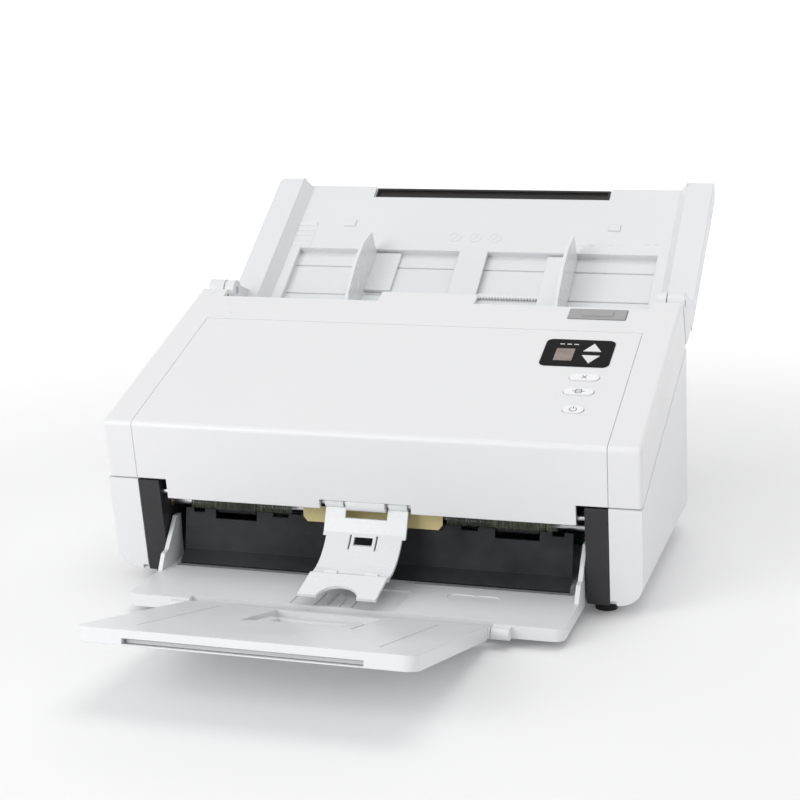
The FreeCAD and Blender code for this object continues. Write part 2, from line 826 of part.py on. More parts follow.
def makeTopCover():
    shell = coverPanel(panelLine - panelGap, -topRun, seamS)
    lowZ = frontSeam[1] - panelDrop
    faceTop = coverOutline(0)[0]
    faceLow = (faceTop[0] + (faceTop[1] - lowZ) * leanRun, lowZ)
    skirtTop = (faceTop[0] - leanRun * 2, faceTop[1] + 2)
    skirtLine = [faceLow, skirtTop, (skirtTop[0] + wall, skirtTop[1]), (faceLow[0] + wall, lowZ)]
    skirt = prismX(skirtLine, -panelDropHalfWidth, panelDropHalfWidth)
    notch = box(-notchHalfWidth, notchHalfWidth, -5, faceLow[0] + 8, lowZ - 1, lowZ + notchHeight)
    boss = rodX(-bossHalf, bossHalf, hinge[0], hinge[1], bossRadius)
    shell = joined([shell, skirt.cut(notch), boss])
    cutters = [rodX(-notchHalfWidth, notchHalfWidth, hinge[0], hinge[1], hingeShaftRadius + fitPlay)]
    play = fitPlay / 2
    pocket = box(bezelX0 - play, bezelX1 + play, bezelS0 - play, bezelS1 + play, -bezelThickness, 2)
    cutters.append(onTop(rounded(pocket, bezelRound + play, verticalEdge)))
    cutters.append(onTop(box(bezelX0 + 2, bezelX1 - 2, bezelS0 + 2, bezelS1 - 2, -5, 2)))
    for x, s, width, height in ovals.values():
        cutters.append(onTop(ovalPlate(x, s, width, height, -5, 2, buttonGap)))
    for side in (1, -1):
        a, b = sorted((side * (upperSide - 3.4), side * (panelDropHalfWidth + 0.1)))
        cutters.append(rodX(a, b, hinge[0], hinge[1], knuckleRadius + fitPlay))
    return without(shell, cutters)


def makeEndCap():
    cap = coverShell(panelLine + panelGap, halfWidth, False, 0)

    def sideTop(bounds):
        slope = bounds.YLength > topRun / 2 and bounds.ZLength > 20 and bounds.XLength < 0.1
        return slope and bounds.XMax > halfWidth - 0.1 and bounds.ZMax > rearTop[1] - 6

    edges = [edge for edge in edgesWhere(cap, sideTop) if edge.BoundBox.ZMin > frontSeam[1] + 20]
    return cap.makeFillet(wall - 0.3, edges)


def makeCoverFrame():
    # Both side caps and the rear strip are one moulding, which holds the panel of the cover from three sides.
    strip = coverPanel(panelLine + panelGap, seamS + 2 * panelGap, 2 * topRun)
    lipEnd = topLength + 2.0
    lip = onTop(box(-34, 29, lipEnd - lipSetBack - 6, lipEnd, -1.6, 0))
    frame = joined([makeEndCap(), mirrored(makeEndCap()), strip, lip])
    play = partGap
    return frame.cut(onTop(box(latchX0 - play, latchX1 + play, latchS0 - play, latchS1 + play, -5, 2)))


def makeUpperChassis():
    plate = onPath(box(-upperSide, upperSide, 9.0, bendAlong - 6, pathGap, pathGap + sheetThickness))
    webs = []
    for side in (1, -1):
        a, b = sorted((side * (upperSide - 3), side * upperSide))
        outline = [pathPoint(9, pathGap), pathPoint(bendAlong - 6, pathGap)]
        topRear = (rearTop[0] - 14, rearTop[1] - 10)
        topFront = (frontTop[0] + 16, frontTop[1] - 3)
        outline += [topRear, topFront, (hinge[0] + 3.6, hinge[1] + 12)]
        outline += [(hinge[0] - 1.0, hinge[1] + 2.4), (hinge[0] + 1.0, hinge[1] - 2.8)]
        web = prismX(outline, a, b).fuse(rodX(a, b, hinge[0], hinge[1], knuckleRadius - fitPlay))
        web = web.cut(rodX(a - 1, b + 1, hinge[0], hinge[1], hingeShaftRadius + runningGap))
        webs.append(web)
    ties = []
    for along, up in ((24, 22), (bendAlong - 22, 44)):
        y, z = pathPoint(along, up)
        ties.append(rodX(-upperSide, upperSide, y, z, 3.0))
    solid = joined([plate] + webs + ties + [makeSpringSeat()])
    cutters = []
    for side in (1, -1):
        a, b = sorted((side * (wheelInner - wheelPlay), side * (wheelOuter + wheelPlay)))
        for along in (transportFirst, transportSecond):
            slot = pinchRadius + 2.5
            cutters.append(onPath(box(a, b, along - slot, along + slot, 0, 5)))
    half = scanWidth / 2 + partGap
    scanEnd = upperScanAlong + scanDepth + partGap
    cutters.append(onPath(box(-half, half, upperScanAlong - partGap, scanEnd, 0, 5)))
    feedSide = feedWheelOuter + 4.0
    cutters.append(onPath(box(-feedSide, feedSide, feedAlong - 12, feedAlong + 12, 0, 5)))
    for along, up in upperShafts():
        y, z = pathPoint(along, up)
        cutters.append(rodX(-halfWidth, halfWidth, y, z, axleRadius + runningGap))
    return without(solid, cutters)


def upperShafts():
    return [
        (transportFirst, pinchRadius + rollerLift),
        (transportSecond, pinchRadius + rollerLift),
        (feedAlong, separationRadius + rollerLift),
    ]


def makeBezel():
    plate = box(bezelX0, bezelX1, bezelS0, bezelS1, -bezelThickness + 0.05, 0.35)
    plate = rounded(plate, bezelRound, verticalEdge)
    play = fitPlay / 2
    cutters = [box(displayX0 - play, displayX1 + play, displayS0 - play, displayS1 + play, -3, 3)]
    for x, s, direction in arrows.values():
        cutters.append(arrowPlate(x, s, direction, -3, 3, buttonGap))
    return onTop(without(plate, cutters))


def makeDisplay():
    return onTop(box(displayX0, displayX1, displayS0, displayS1, -bezelThickness, 0.1))


def makeControlBoard():
    high = controlBoardTop
    board = box(bezelX0 + 1.4, upperSide - 3.4, 30, bezelS1 - 3.0, high - boardThickness, high)
    postX = bezelX0 + 4.4
    posts = [rodZ(x, s, high, -wall, 2.0) for x, s in ((postX, 34), (postX, 80), (postX + 26, 82))]
    return onTop(joined([board] + posts))


def makeArrowButton(name):
    x, s, direction = arrows[name]
    cap = arrowPlate(x, s, direction, -capDepth, buttonProud, 0)
    stem = rodZ(x, s, -stemDepth, -capDepth, 1.6)
    return onTop(joined([cap, stem]))


def makeOvalButton(name):
    x, s, width, height = ovals[name]
    cap = ovalPlate(x, s, width, height, -capDepth, buttonProud, 0)
    flange = box(x - width / 2 - 1.0, x + width / 2 + 1.0, s - 2.4, s + 2.4, -4.6, -3.4)
    stem = rodZ(x, s, -stemDepth, -capDepth, 1.8)
    return onTop(joined([cap, flange, stem]))


def makeLatch():
    pad = box(latchX0, latchX1, latchS0, latchS1, -latchThickness, 0.5)
    ridge = box(latchX0 + 8, latchX1 - 8, latchS0 + 3, latchS1 - 3, 0.4, 1.0)
    x = (latchX0 + latchX1) / 2
    post = box(x - 4, x + 4, latchS0 + 3, latchS1 - 3, latchPostLow, -latchThickness)
    return onTop(joined([pad, ridge, post]))


def makeLatchSpring():
    x = (latchX0 + latchX1) / 2
    s = (latchS0 + latchS1) / 2
    coil = Part.makeHelix(1.6, springLength, springRadius)
    start = Vector(springRadius, 0, 0)
    circle = Part.Wire(Part.makeCircle(springWire, start, Vector(0, 1, 0)))
    wire = Part.Wire(coil).makePipeShell([circle], True, True)
    wire.translate(Vector(x, s, springSeatTop + 0.6))
    return onTop(wire)


def makeSpringSeat():
    x = (latchX0 + latchX1) / 2
    s = (latchS0 + latchS1) / 2
    return onTop(box(x - 7, upperSide - 1, s - 5, s + 5, springSeatTop - 2.4, springSeatTop))


# ---- exit guide ----
guideLine = [(hinge[0] - 0.6, hinge[1] - 2.6), (hinge[0] - 2.6, hinge[1] - 8.0), (hinge[0] - 6.0, hinge[1] - 16.0)]
flapHinge = (-21.5, 24.6)
flapBarrel = 1.5
flapPin = 0.6
flapEnd = (-46.0, 19.6)
thumbRadius = 11.5


def curveBetween(a, b, bulge, count):
    points = []
    for index in range(count):
        t = index / (count - 1)
        y = a[0] + (b[0] - a[0]) * t + bulge[0] * 4 * t * (1 - t)
        z = a[1] + (b[1] - a[1]) * t + bulge[1] * 4 * t * (1 - t)
        points.append((y, z))
    return points


def makeExitGuide():
    lower = curveBetween(guideLine[2], (flapHinge[0] + 1.9, flapHinge[1] + 1.1), (1.2, -3.2), 7)
    line = guideLine + lower[1:]
    sheet = band(line, guideThickness, -guideHalfWidth, guideHalfWidth)
    cutout = box(-12.5, 12.5, -60, 60, hinge[1] - 8.5, hinge[1] + 20)
    window = box(-5.5, 5.5, -60, 60, hinge[1] - 22, hinge[1] - 18)
    slots = [box(side * 7.8 - 0.5, side * 7.8 + 0.5, -60, 60, hinge[1] - 24, hinge[1] - 17) for side in (1, -1)]
    narrow = []
    for side in (1, -1):
        a, b = sorted((side * flapWidth, side * 60))
        narrow.append(box(a, b, -60, 60, 0, hinge[1] - 18))
    sheet = without(sheet, [cutout, window] + slots + narrow)
    knuckles = []
    for side in (1, -1):
        a, b = sorted((side * 13.5, side * guideHalfWidth))
        knuckles.append(rodX(a, b, hinge[0], hinge[1], knuckleRadius))
    barrel = []
    y, z = flapHinge
    for side in (1, -1):
        a, b = sorted((side * 8.0, side * 16.0))
        barrel.append(rodX(a, b, y, z, flapBarrel))
        barrel.append(prismX([(y, z + 0.9), (y + 2.4, z + 2.4), (y + 2.4, z + 0.9), (y, z - 0.5)], a, b))
    solid = joined([sheet] + knuckles + barrel)
    solid = solid.cut(rodX(-40, 40, hinge[0], hinge[1], hingeShaftRadius + runningGap))
    return solid.cut(rodX(-40, 40, flapHinge[0], flapHinge[1], flapPin + runningGap))


def makeExitFlap():
    line = [(flapHinge[0] - 1.9, flapHinge[1] + 0.6), flapEnd]
    sheet = band(line, -guideThickness, -flapWidth, flapWidth)
    sheet = sheet.cut(rodZ(0, flapEnd[0] - 1.0, 0, 60, thumbRadius))
    y, z = flapHinge
    ends = []
    for side in (1, -1):
        a, b = sorted((side * 16.4, side * flapWidth))
        ends.append(rodX(a, b, y, z, flapBarrel))
        ends.append(prismX([(y, z + 1.4), (y, z - 0.8), (y - 3.4, z + 0.3), (y - 3.4, z + 1.6)], a, b))
        a, b = sorted((side * 7.0, side * 16.5))
        ends.append(rodX(a, b, y, z, flapPin))
    return joined([sheet] + ends)


# ---- output tray ----
trayBottom = trayTop - trayThickness
trayWall = 2.2
troughHalf = 30.0
troughDepth = 0.7
hingeSideGap = 1.6
lugHalf = 5.0
hingeZ = 8.4


def makeOutputTray():
    top = box(-trayHalfWidth, trayHalfWidth, trayFrontY, trayRearY, trayBottom, trayTop)

    def frontCorner(bounds):
        return verticalEdge(bounds) and bounds.YMax < trayFrontY + 1
    top = rounded(top, 6.0, frontCorner)
    side = trayHalfWidth - trayWall
    cutters = [box(-side, side, trayFrontY + 6.5, trayRearY + 1, trayBottom - 1, trayTop - trayWall)]
    side = extensionHalfWidth + hingeSideGap
    cutters.append(box(-side, side, trayFrontY - 1, trayFrontY + 4.0, trayBottom - 1, trayTop + 1))
    trough = box(-troughHalf, troughHalf, trayFrontY + 6, trayRearY - 14, trayTop - troughDepth, trayTop + 1)
    cutters.append(trough)
    for x in (59.5, 73.5):
        cutters.append(ovalPlate(x, -5.5, 15.5, 9.0, trayTop - 0.5, trayTop + 1, 0))
    solid = without(top, cutters)
    parts = [solid]
    for index in range(4):
        x = -17 + index * 7
        parts.append(box(x, x + 1.2, trayFrontY + 5.5, -16, trayTop - troughDepth - 0.1, trayTop - 0.2))
    for side in (1, -1):
        inner = trayHalfWidth - earThickness
        a, b = sorted((side * inner, side * trayHalfWidth))
        parts.append(box(a, b, trayRearY - 1, railBack, trayBottom, trayTop))
        ear = []
        for back, up in ((-14, -1), (-8, 9), (-3, 10), (6, 21), (11, 27), (17, 27), (19, -1)):
            ear.append((trayRearY + back, trayTop + up))
        e, f = sorted((side * (trayHalfWidth - 2.6), side * trayHalfWidth))
        parts.append(prismX(ear, e, f))
        lugX = side * (extensionHalfWidth + hingeSideGap + lugHalf)
        lug = rodX(lugX - lugHalf, lugX + lugHalf, extensionHingeY, hingeZ, barrelRadius)
        arm = box(lugX - lugHalf, lugX + lugHalf, extensionHingeY, trayFrontY + 2, hingeZ - barrelRadius, hingeZ + barrelRadius)
        parts.append(lug.fuse(arm))
    solid = joined(parts)
    return solid.cut(rodX(-extensionHalfWidth - 9, extensionHalfWidth + 9, extensionHingeY, hingeZ, pinRadius))


def makeExtensionPin():
    reach = extensionHalfWidth + 8.6
    return rodX(-reach, reach, extensionHingeY, hingeZ, pinRadius)


extensionOrigin = (extensionHingeY, hingeZ)


def onExtension(solid):
    return placed(solid, extensionOrigin, -extensionTilt)


windowHalf = 30.0
windowNear, windowFar = 12.0, 66.0
extensionUp = 4.0
slotUp = -0.6
stopperHinge = (-58.0, 1.6)
stopperPin = 0.8
channelNear = 25.0


def makeExtension():
    near, far = 3.4, extensionLength - 2.0
    up, low = extensionUp, extensionUp - extensionThickness
    slab = box(-extensionHalfWidth, extensionHalfWidth, -far, -near, low, up)

    def farCorner(bounds):
        return verticalEdge(bounds) and bounds.YMax < -far + 1
    slab = rounded(slab, 7.0, farCorner)
    sliderHalf = sliderHalfWidth + 0.5
    channel = box(-sliderHalf, sliderHalf, -far - 1, -channelNear, slotUp - sliderThickness - 0.5, slotUp)
    window = box(-windowHalf, windowHalf, -windowFar, -windowNear, slotUp - runningGap, up + 1)
    windowRear = box(-windowHalf, windowHalf, -windowNear - 16, -windowNear, low - 1, up + 1)
    lip = box(-sliderHalf, sliderHalf, -far - 1, -far + 5.0, low + 1.9, slotUp + 0.4)
    lines = []
    for side in (1, -1):
        x = side * (sliderHalfWidth + 2.0)
        lines.append(box(x - 0.4, x + 0.4, -far + 20, -14, up - 0.4, up + 1))
    barrel = rodX(-extensionHalfWidth - 1.2, extensionHalfWidth + 1.2, 0, 0, barrelRadius)
    neck = box(-extensionHalfWidth, extensionHalfWidth, -near - 1, 0, -barrelRadius + 0.2, barrelRadius - 0.2)
    solid = joined([without(slab, [channel, window, windowRear, lip] + lines), barrel, neck])
    y, z = stopperHinge
    bores = [rodX(-extensionHalfWidth - 5, extensionHalfWidth + 5, 0, 0, pinRadius + runningGap)]
    bores.append(rodX(-windowHalf - 2.4, windowHalf + 2.4, y, z, stopperPin + runningGap))
    return onExtension(without(solid, bores))


def makeInnerExtension():
    far = extensionLength - 6.0
    high = slotUp - 0.3
    slab = box(-sliderHalfWidth, sliderHalfWidth, -far, -channelNear - 1.0, high - sliderThickness, high)
    return onExtension(slab)


def makeStopper():
    # Wire-like frame that lies in the extension window and flips up to catch the sheets.
    y, z = stopperHinge
    barrel = rodX(-windowHalf + 0.6, windowHalf - 0.6, y, z, 1.5)
    pin = rodX(-windowHalf - 2.0, windowHalf + 2.0, y, z, stopperPin)
    half = windowHalf - 4.0
    frame = box(-half, half, y, y + 26, z - 0.8, z + 1.2)
    hole = box(-half + 7, half - 7, y + 7, y + 20, z - 3, z + 3)
    return onExtension(joined([barrel, pin, frame.cut(hole)]))


# ---- input tray ----
tipChamfer = 7.0
railNear = 30.0
railBulge = 7.6


def makeInputTray():
    plate = box(-railInner - 1, railInner + 1, 0, trayLength, -plateThickness, 0)
    pockets = []
    for side in (1, -1):
        a, b = sorted((side * (railInner - 1.1), side * halfWidth))
        pockets.append(box(a, b, -1, railNear, -5, 5))
        a, b = sorted((side * pocketInner, side * pocketOuter))
        pockets.append(box(a, b, pocketNear, pocketFar, -20, 5))
    low, high = rackCentre - 14.5, rackCentre + 14.5
    channel = box(-pocketInner - 1, pocketInner + 1, low, high, -20, -plateThickness + 0.6)
    side = gripHalfWidth + 0.6
    grip = box(-side, side, trayLength - gripDepth - 0.5, trayLength + 1, -20, 5)
    plate = without(plate, pockets + [channel, grip])
    tabs = []
    for x, s in ((-96, trayLength - 41), (94, trayLength - 41)):
        tabs.append(box(x - 4, x + 4, s - 3, s + 3, -0.1, 0.9))
    rails = []
    for side in (1, -1):
        end = trayLength + 1.0
        outline = [(railNear, -plateThickness), (47, -3.2), (end - 5, -railBulge), (end, -2)]
        outline += [(end, railTop - 3), (end - tipChamfer, railTop), (railNear, railTop)]
        a, b = sorted((side * railInner, side * railOuter))
        rail = prismX(outline, a, b)
        inner = side * (railInner + 0.1)
        bevel = [Vector(inner - side * 5.8, railNear, 0), Vector(inner, railNear, 0), Vector(inner, railNear, railTop)]
        wedge = Part.Face(Part.makePolygon(bevel + bevel[:1])).extrude(Vector(0, end - 3 - railNear, 0))
        a, b = sorted((side * armInner, side * railOuter))
        y, z = placedPivot()
        arm = [(y - 6.4, z - 2.4), (5.5, 10.5), (9.5, 7.2), (30, 2.6), (47, -3.0), (62, -3.0)]
        arm += [(62, railTop), (44, railTop), (y + 6.6, z + 1.8)]
        hub = prismX(arm, a, b).fuse(rodX(a, b, y, z, hubRadius))
        rails += [rail, wedge, hub.cut(rodX(a - 1, b + 1, y, z, trayPinRadius + runningGap))]
    solid = joined([plate] + tabs + rails + makeExtensionRunners())
    under = []
    for side in (1, -1):
        a, b = sorted((side * (railInner + 3), side * (railOuter - 2.4)))
        under.append(box(a, b, 52, trayLength - 6, -10, railTop - 2.6))
    return onTray(without(solid, under))


def placedPivot():
    radians = math.radians(-traySlope)
    y = trayPivot[0] - trayRoot[0]
    z = trayPivot[1] - trayRoot[1]
    return (y * math.cos(radians) - z * math.sin(radians), y * math.sin(radians) + z * math.cos(radians))


def makeTrayFloor():
    half = pocketOuter + 5
    near, far = pocketNear - 4.0, pocketFar + 4.0
    floor = box(-half, half, near, far, -pocketDepth - 2, -pocketDepth)
    rims = []
    for side in (1, -1):
        a, b = sorted((side * (pocketOuter + partGap), side * half))
        rims.append(box(a, b, near, far, -pocketDepth, -plateThickness))
    rims.append(box(-half, half, near, pocketNear - partGap, -pocketDepth, -plateThickness))
    rims.append(box(-half, half, pocketFar + partGap, far, -pocketDepth, -plateThickness))
    boss = rodZ(0, rackCentre, -pocketDepth, rackHigh, pinionBoss)
    grooves = []
    for s in (pocketFar - 42.1, pocketFar - 14.1):
        grooves.append(box(-pocketOuter, pocketOuter, s, s + 1.2, -pocketDepth - 1.0, 0))
    return onTray(joined([floor.cut(grooves[0]).cut(grooves[1])] + rims + [boss]))


pressureAngle = math.radians(20)
addendum = 0.85
dedendum = 1.15
rackBack = 4.0
pinionBoss = 2.0


def pinionOutline():
    # Involute teeth of 20 degrees pressure angle, thinned by the backlash, with a gap facing each rack.
    base = pinionRadius * math.cos(pressureAngle)
    outer = pinionRadius + addendum * rackModule
    root = pinionRadius - dedendum * rackModule
    toothAngle = math.pi / pinionTeeth - rackBacklash / pinionRadius
    flankAtPitch = math.tan(pressureAngle) - pressureAngle
    outline = []
    for tooth in range(pinionTeeth):
        centre = tooth * 2 * math.pi / pinionTeeth
        half = toothAngle / 2 + flankAtPitch
        flank = []
        for index in range(5):
            radius = base + (outer - base) * index / 4
            roll = math.sqrt(max((radius / base) ** 2 - 1, 0))
            angle = half - (roll - math.atan(roll))
            flank.append((radius, angle))
        outline.append((root, centre - half))
        outline += [(radius, centre - angle) for radius, angle in flank]
        outline += [(radius, centre + angle) for radius, angle in flank[::-1]]
        outline.append((root, centre + half))
    return [(radius * math.cos(angle), radius * math.sin(angle)) for radius, angle in outline]


def makePinion():
    corners = [Vector(x, y + rackCentre, rackLow) for x, y in pinionOutline()]
    face = Part.Face(Part.makePolygon(corners + corners[:1]))
    gear = face.extrude(Vector(0, 0, rackHigh - rackLow))
    bore = rodZ(0, rackCentre, rackLow - 1, rackHigh + 1, pinionBoss + runningGap)
    return onTray(gear.cut(bore))


def rackBar(x0, x1, side):
    # Rack with straight flanks; side +1 lies above the pinion, -1 below it. A tooth is centred on x = 0.
    pitch = math.pi * rackModule
    pitchLine = rackCentre + side * pinionRadius
    flankRun = math.tan(pressureAngle)
    halfTooth = pitch / 4 - rackBacklash / 4
    tip = addendum * rackModule
    rootDepth = dedendum * rackModule
    back = pitchLine + side * rackBack
    points = [(x0, back), (x0, pitchLine + side * rootDepth)]
    first = math.ceil((x0 + pitch / 2) / pitch)
    last = math.floor((x1 - pitch / 2) / pitch)
    for index in range(first, last + 1):
        centre = index * pitch
        wide = halfTooth + rootDepth * flankRun
        narrow = halfTooth - tip * flankRun
        points.append((centre - wide, pitchLine + side * rootDepth))
        points.append((centre - narrow, pitchLine - side * tip))
        points.append((centre + narrow, pitchLine - side * tip))
        points.append((centre + wide, pitchLine + side * rootDepth))
    points += [(x1, pitchLine + side * rootDepth), (x1, back)]
    corners = [Vector(x, y, rackLow) for x, y in points]
    face = Part.Face(Part.makePolygon(corners + corners[:1]))
    return face.extrude(Vector(0, 0, rackHigh - rackLow))


def makePaperGuide(side):
    inner = side * guideSpacing
    outer = side * (guideSpacing + guideBlade)
    a, b = sorted((inner, outer))
    near, far = pocketNear + 2.0, pocketFar - 1.0
    low = -plateThickness + partGap
    profile = [(near, low), (near, 12), (near + 14, 20), (58, guideHeight), (80, guideHeight - 1), (far, 17), (far, low)]
    blade = prismX(profile, a, b)
    # The foot leaves a lane for the rack of the other guide.
    clearOfRack = pinionRadius + rackBack + partGap
    clearOfTeeth = pinionRadius - addendum * rackModule - partGap
    lane = sorted((rackCentre - side * clearOfRack, rackCentre - side * clearOfTeeth))
    linkTop = -plateThickness + 0.6
    c, d = sorted((side * (guideSpacing - guideFoot), outer))
    pieces = [blade]
    for start, end in ((near, lane[0]), (lane[1], far)):
        pieces.append(box(c, d, start, end, rackLow, rackHigh))
        pieces.append(box(a, b, start, end, rackHigh - 0.2, linkTop))
    reach = pinionRadius + guideTravelOut + 2.0
    start, end = sorted((-side * reach, outer))
    pieces.append(rackBar(start, end, side))
    pitchLine = rackCentre + side * pinionRadius
    low, high = sorted((pitchLine + side * 1.6, pitchLine + side * (rackBack - partGap)))
    pieces.append(box(a, b, low, high, rackHigh - 0.2, linkTop))
    return onTray(joined(pieces))


drawerPlateNear = trayLength - 60.0
drawerLow = -plateThickness - 2.4
drawerHigh = -plateThickness - 0.6


def makeTrayExtension():
    side = gripHalfWidth - 2.0
    plate = box(-side, side, drawerPlateNear, trayLength - 9.0, drawerLow, drawerHigh)
    grip = box(-gripHalfWidth, gripHalfWidth, trayLength - gripDepth, trayLength - 0.4, drawerLow, -1.2)
    side = gripHalfWidth - 1.5
    hollow = box(-side, side, trayLength - gripDepth + 1.6, trayLength - 2.2, -plateThickness - 0.9, 2)
    return onTray(joined([plate, grip.cut(hollow)]))


def makeExtensionRunners():
    low = drawerLow - 2.0
    runners = []
    for side in (1, -1):
        a, b = sorted((side * (gripHalfWidth - 1.6), side * (gripHalfWidth + 4)))
        c, d = sorted((side * (gripHalfWidth - 1.0), side * (gripHalfWidth + 4)))
        runner = box(a, b, drawerPlateNear, trayLength - 12, low, drawerLow - partGap)
        runner = runner.fuse(box(c, d, drawerPlateNear, trayLength - 12, low, -plateThickness))
        runners.append(runner)
    return runners


def build():
    keep("lower_casing", makeLowerCasing())
    keep("base_pan", makeBasePan())
    keep("rubber_feet", makeFeet())
    keep("right_pillar", makePillar())
    keep("left_pillar", mirrored(makePillar()))
    keep("exit_plate", makeExitPlate())
    keep("exit_brush", makeBrush())
    keep("exit_film", makeFilm())
    keep("lower_chassis", makeLowerChassis().cut(motorHole()))
    keep("lower_scan_module", scanModule(lowerScanAlong, -1))
    keep("lower_scan_glass", scanGlass(lowerScanAlong, -1))
    keep("hinge_shaft", makeHingeShaft())
    keep("drive_motor", without(makeMotor(), [motorHole()]))
    keep("motor_pulley", makeMotorPulley())
    keep("drive_belt", makeBelt())
    keep("shaft_bushes", makeBushes())
    keep("main_board", makeMainBoard())
    keep("power_jack", makePowerJack())
    keep("usb_socket", makeUsbSocket())
    keep("tray_pins", makeTrayPins())
    keep("base_screws", makeScrews())
    exitUp = -exitRollerRadius - rollerSink
    keep("exit_rollers", wheels(0, exitUp, exitRollerRadius, wheelInner, wheelOuter, shaftRadius))
    keep("exit_shaft", drivenShaft(0, exitUp))
    drivenWheels(transportFirst, "front_transport_rollers")
    drivenWheels(transportSecond, "rear_transport_rollers")
    feedUp = -feedRadius - rollerSink
    keep("feed_roller", wheels(feedAlong, feedUp, feedRadius, feedWheelInner, feedWheelOuter, shaftRadius))
    keep("feed_shaft", drivenShaft(feedAlong, feedUp))
    keep("top_cover", makeTopCover())
    keep("cover_frame", makeCoverFrame())
    keep("upper_chassis", makeUpperChassis())
    keep("upper_scan_module", scanModule(upperScanAlong, 1))
    keep("upper_scan_glass", scanGlass(upperScanAlong, 1))
    idleWheels(transportFirst, pinchRadius, wheelInner, wheelOuter, "front_pinch_rollers")
    idleWheels(transportSecond, pinchRadius, wheelInner, wheelOuter, "rear_pinch_rollers")
    idleWheels(feedAlong, separationRadius, feedWheelInner, feedWheelOuter - 2.0, "separation_roller")
    keep("control_bezel", makeBezel())
    keep("display_window", makeDisplay())
    keep("control_board", makeControlBoard())
    for name in arrows:
        keep(name, makeArrowButton(name))
    for name in ovals:
        keep(name, makeOvalButton(name))
    keep("cover_latch", makeLatch())
    keep("latch_spring", makeLatchSpring())
    keep("exit_guide", makeExitGuide())
    keep("exit_flap", makeExitFlap())
    keep("output_tray", makeOutputTray())
    keep("extension_pin", makeExtensionPin())
    keep("output_extension", makeExtension())
    keep("inner_extension", makeInnerExtension())
    keep("paper_stopper", makeStopper())
    keep("input_tray", makeInputTray())
    keep("tray_floor", makeTrayFloor())
    keep("guide_pinion", makePinion())
    keep("right_paper_guide", makePaperGuide(1))
    keep("left_paper_guide", makePaperGuide(-1))
    keep("tray_extension", makeTrayExtension())


build()
os.makedirs("parts", exist_ok=True)
for name, solid in nodes.items():
    solid.translate(shift)
    solid.exportStep("parts/" + name + ".step")
print(len(nodes), "nodes")
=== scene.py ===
import bpy
import json
import math
import random
from mathutils import Matrix, Vector


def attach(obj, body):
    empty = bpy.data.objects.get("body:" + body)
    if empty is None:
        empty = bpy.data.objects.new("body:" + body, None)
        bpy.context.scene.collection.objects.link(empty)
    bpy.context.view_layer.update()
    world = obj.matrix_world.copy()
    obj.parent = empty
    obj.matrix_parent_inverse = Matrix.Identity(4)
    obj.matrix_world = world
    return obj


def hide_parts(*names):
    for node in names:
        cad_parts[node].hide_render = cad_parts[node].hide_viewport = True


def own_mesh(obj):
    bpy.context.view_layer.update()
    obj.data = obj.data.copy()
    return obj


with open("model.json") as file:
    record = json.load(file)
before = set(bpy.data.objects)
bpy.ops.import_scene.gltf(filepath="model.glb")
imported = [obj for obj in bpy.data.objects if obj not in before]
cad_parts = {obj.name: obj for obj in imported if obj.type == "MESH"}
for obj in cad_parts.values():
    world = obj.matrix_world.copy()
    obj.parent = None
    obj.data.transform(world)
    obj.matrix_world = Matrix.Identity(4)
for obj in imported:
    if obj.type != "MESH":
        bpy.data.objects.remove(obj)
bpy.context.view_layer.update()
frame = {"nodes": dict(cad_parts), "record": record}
bodyOfNode = {}
for bodyName, nodeNames in frame["record"]["behaviour"]["bodies"].items():
    for nodeName in nodeNames:
        bodyOfNode[nodeName] = bodyName
slotOfNode = {part["node"]: part["material_slot"] for part in frame["record"]["subparts"]}
print("frame loaded,", len(bodyOfNode), "parts")

# the sloping faces that details are laid on: a point at x = 0 on the face, and the slope in degrees
coverFace = {"y": -0.06524, "z": 0.1007, "slope": 19.24}
trayFace = {"y": 0.11623, "z": 0.11351, "slope": 34.7}


# modelling helpers
def clearSelection():
    if bpy.context.object and bpy.context.object.mode != "OBJECT":
        bpy.ops.object.mode_set(mode="OBJECT")
    bpy.ops.object.select_all(action="DESELECT")


def workOn(piece):
    clearSelection()
    piece.select_set(True)
    bpy.context.view_layer.objects.active = piece


def settle(piece):
    # its place goes into the mesh, so the object stays at the origin
    workOn(piece)
    bpy.ops.object.transform_apply(location=True, rotation=True, scale=True)


def named(name):
    piece = bpy.context.object
    piece.name = name
    piece.data.name = name
    return piece


def startBlock(name, low, high):
    clearSelection()
    middle = [(a + b) / 2 for a, b in zip(low, high)]
    bpy.ops.mesh.primitive_cube_add(size=1, location=middle)
    piece = named(name)
    piece.scale = [b - a for a, b in zip(low, high)]
    settle(piece)
    return piece


def startPicking(piece, kind):
    workOn(piece)
    bpy.ops.object.mode_set(mode="EDIT")
    bpy.ops.mesh.select_mode(type=kind)
    bpy.ops.mesh.select_all(action="DESELECT")
    bpy.ops.object.mode_set(mode="OBJECT")


def pickFaces(piece, test):
    startPicking(piece, "FACE")
    for face in piece.data.polygons:
        face.select = test(face.center, face.normal)
    bpy.ops.object.mode_set(mode="EDIT")


def pickEdges(piece, test):
    startPicking(piece, "EDGE")
    points = piece.data.vertices
    for edge in piece.data.edges:
        a, b = [points[index].co for index in edge.vertices]
        edge.select = test(a, b)
    bpy.ops.object.mode_set(mode="EDIT")


def pickAll(piece):
    workOn(piece)
    bpy.ops.object.mode_set(mode="EDIT")
    bpy.ops.mesh.select_all(action="SELECT")


def leaveEdit():
    bpy.ops.object.mode_set(mode="OBJECT")


def outward(piece):
    pickAll(piece)
    bpy.ops.mesh.normals_make_consistent(inside=False)
    leaveEdit()


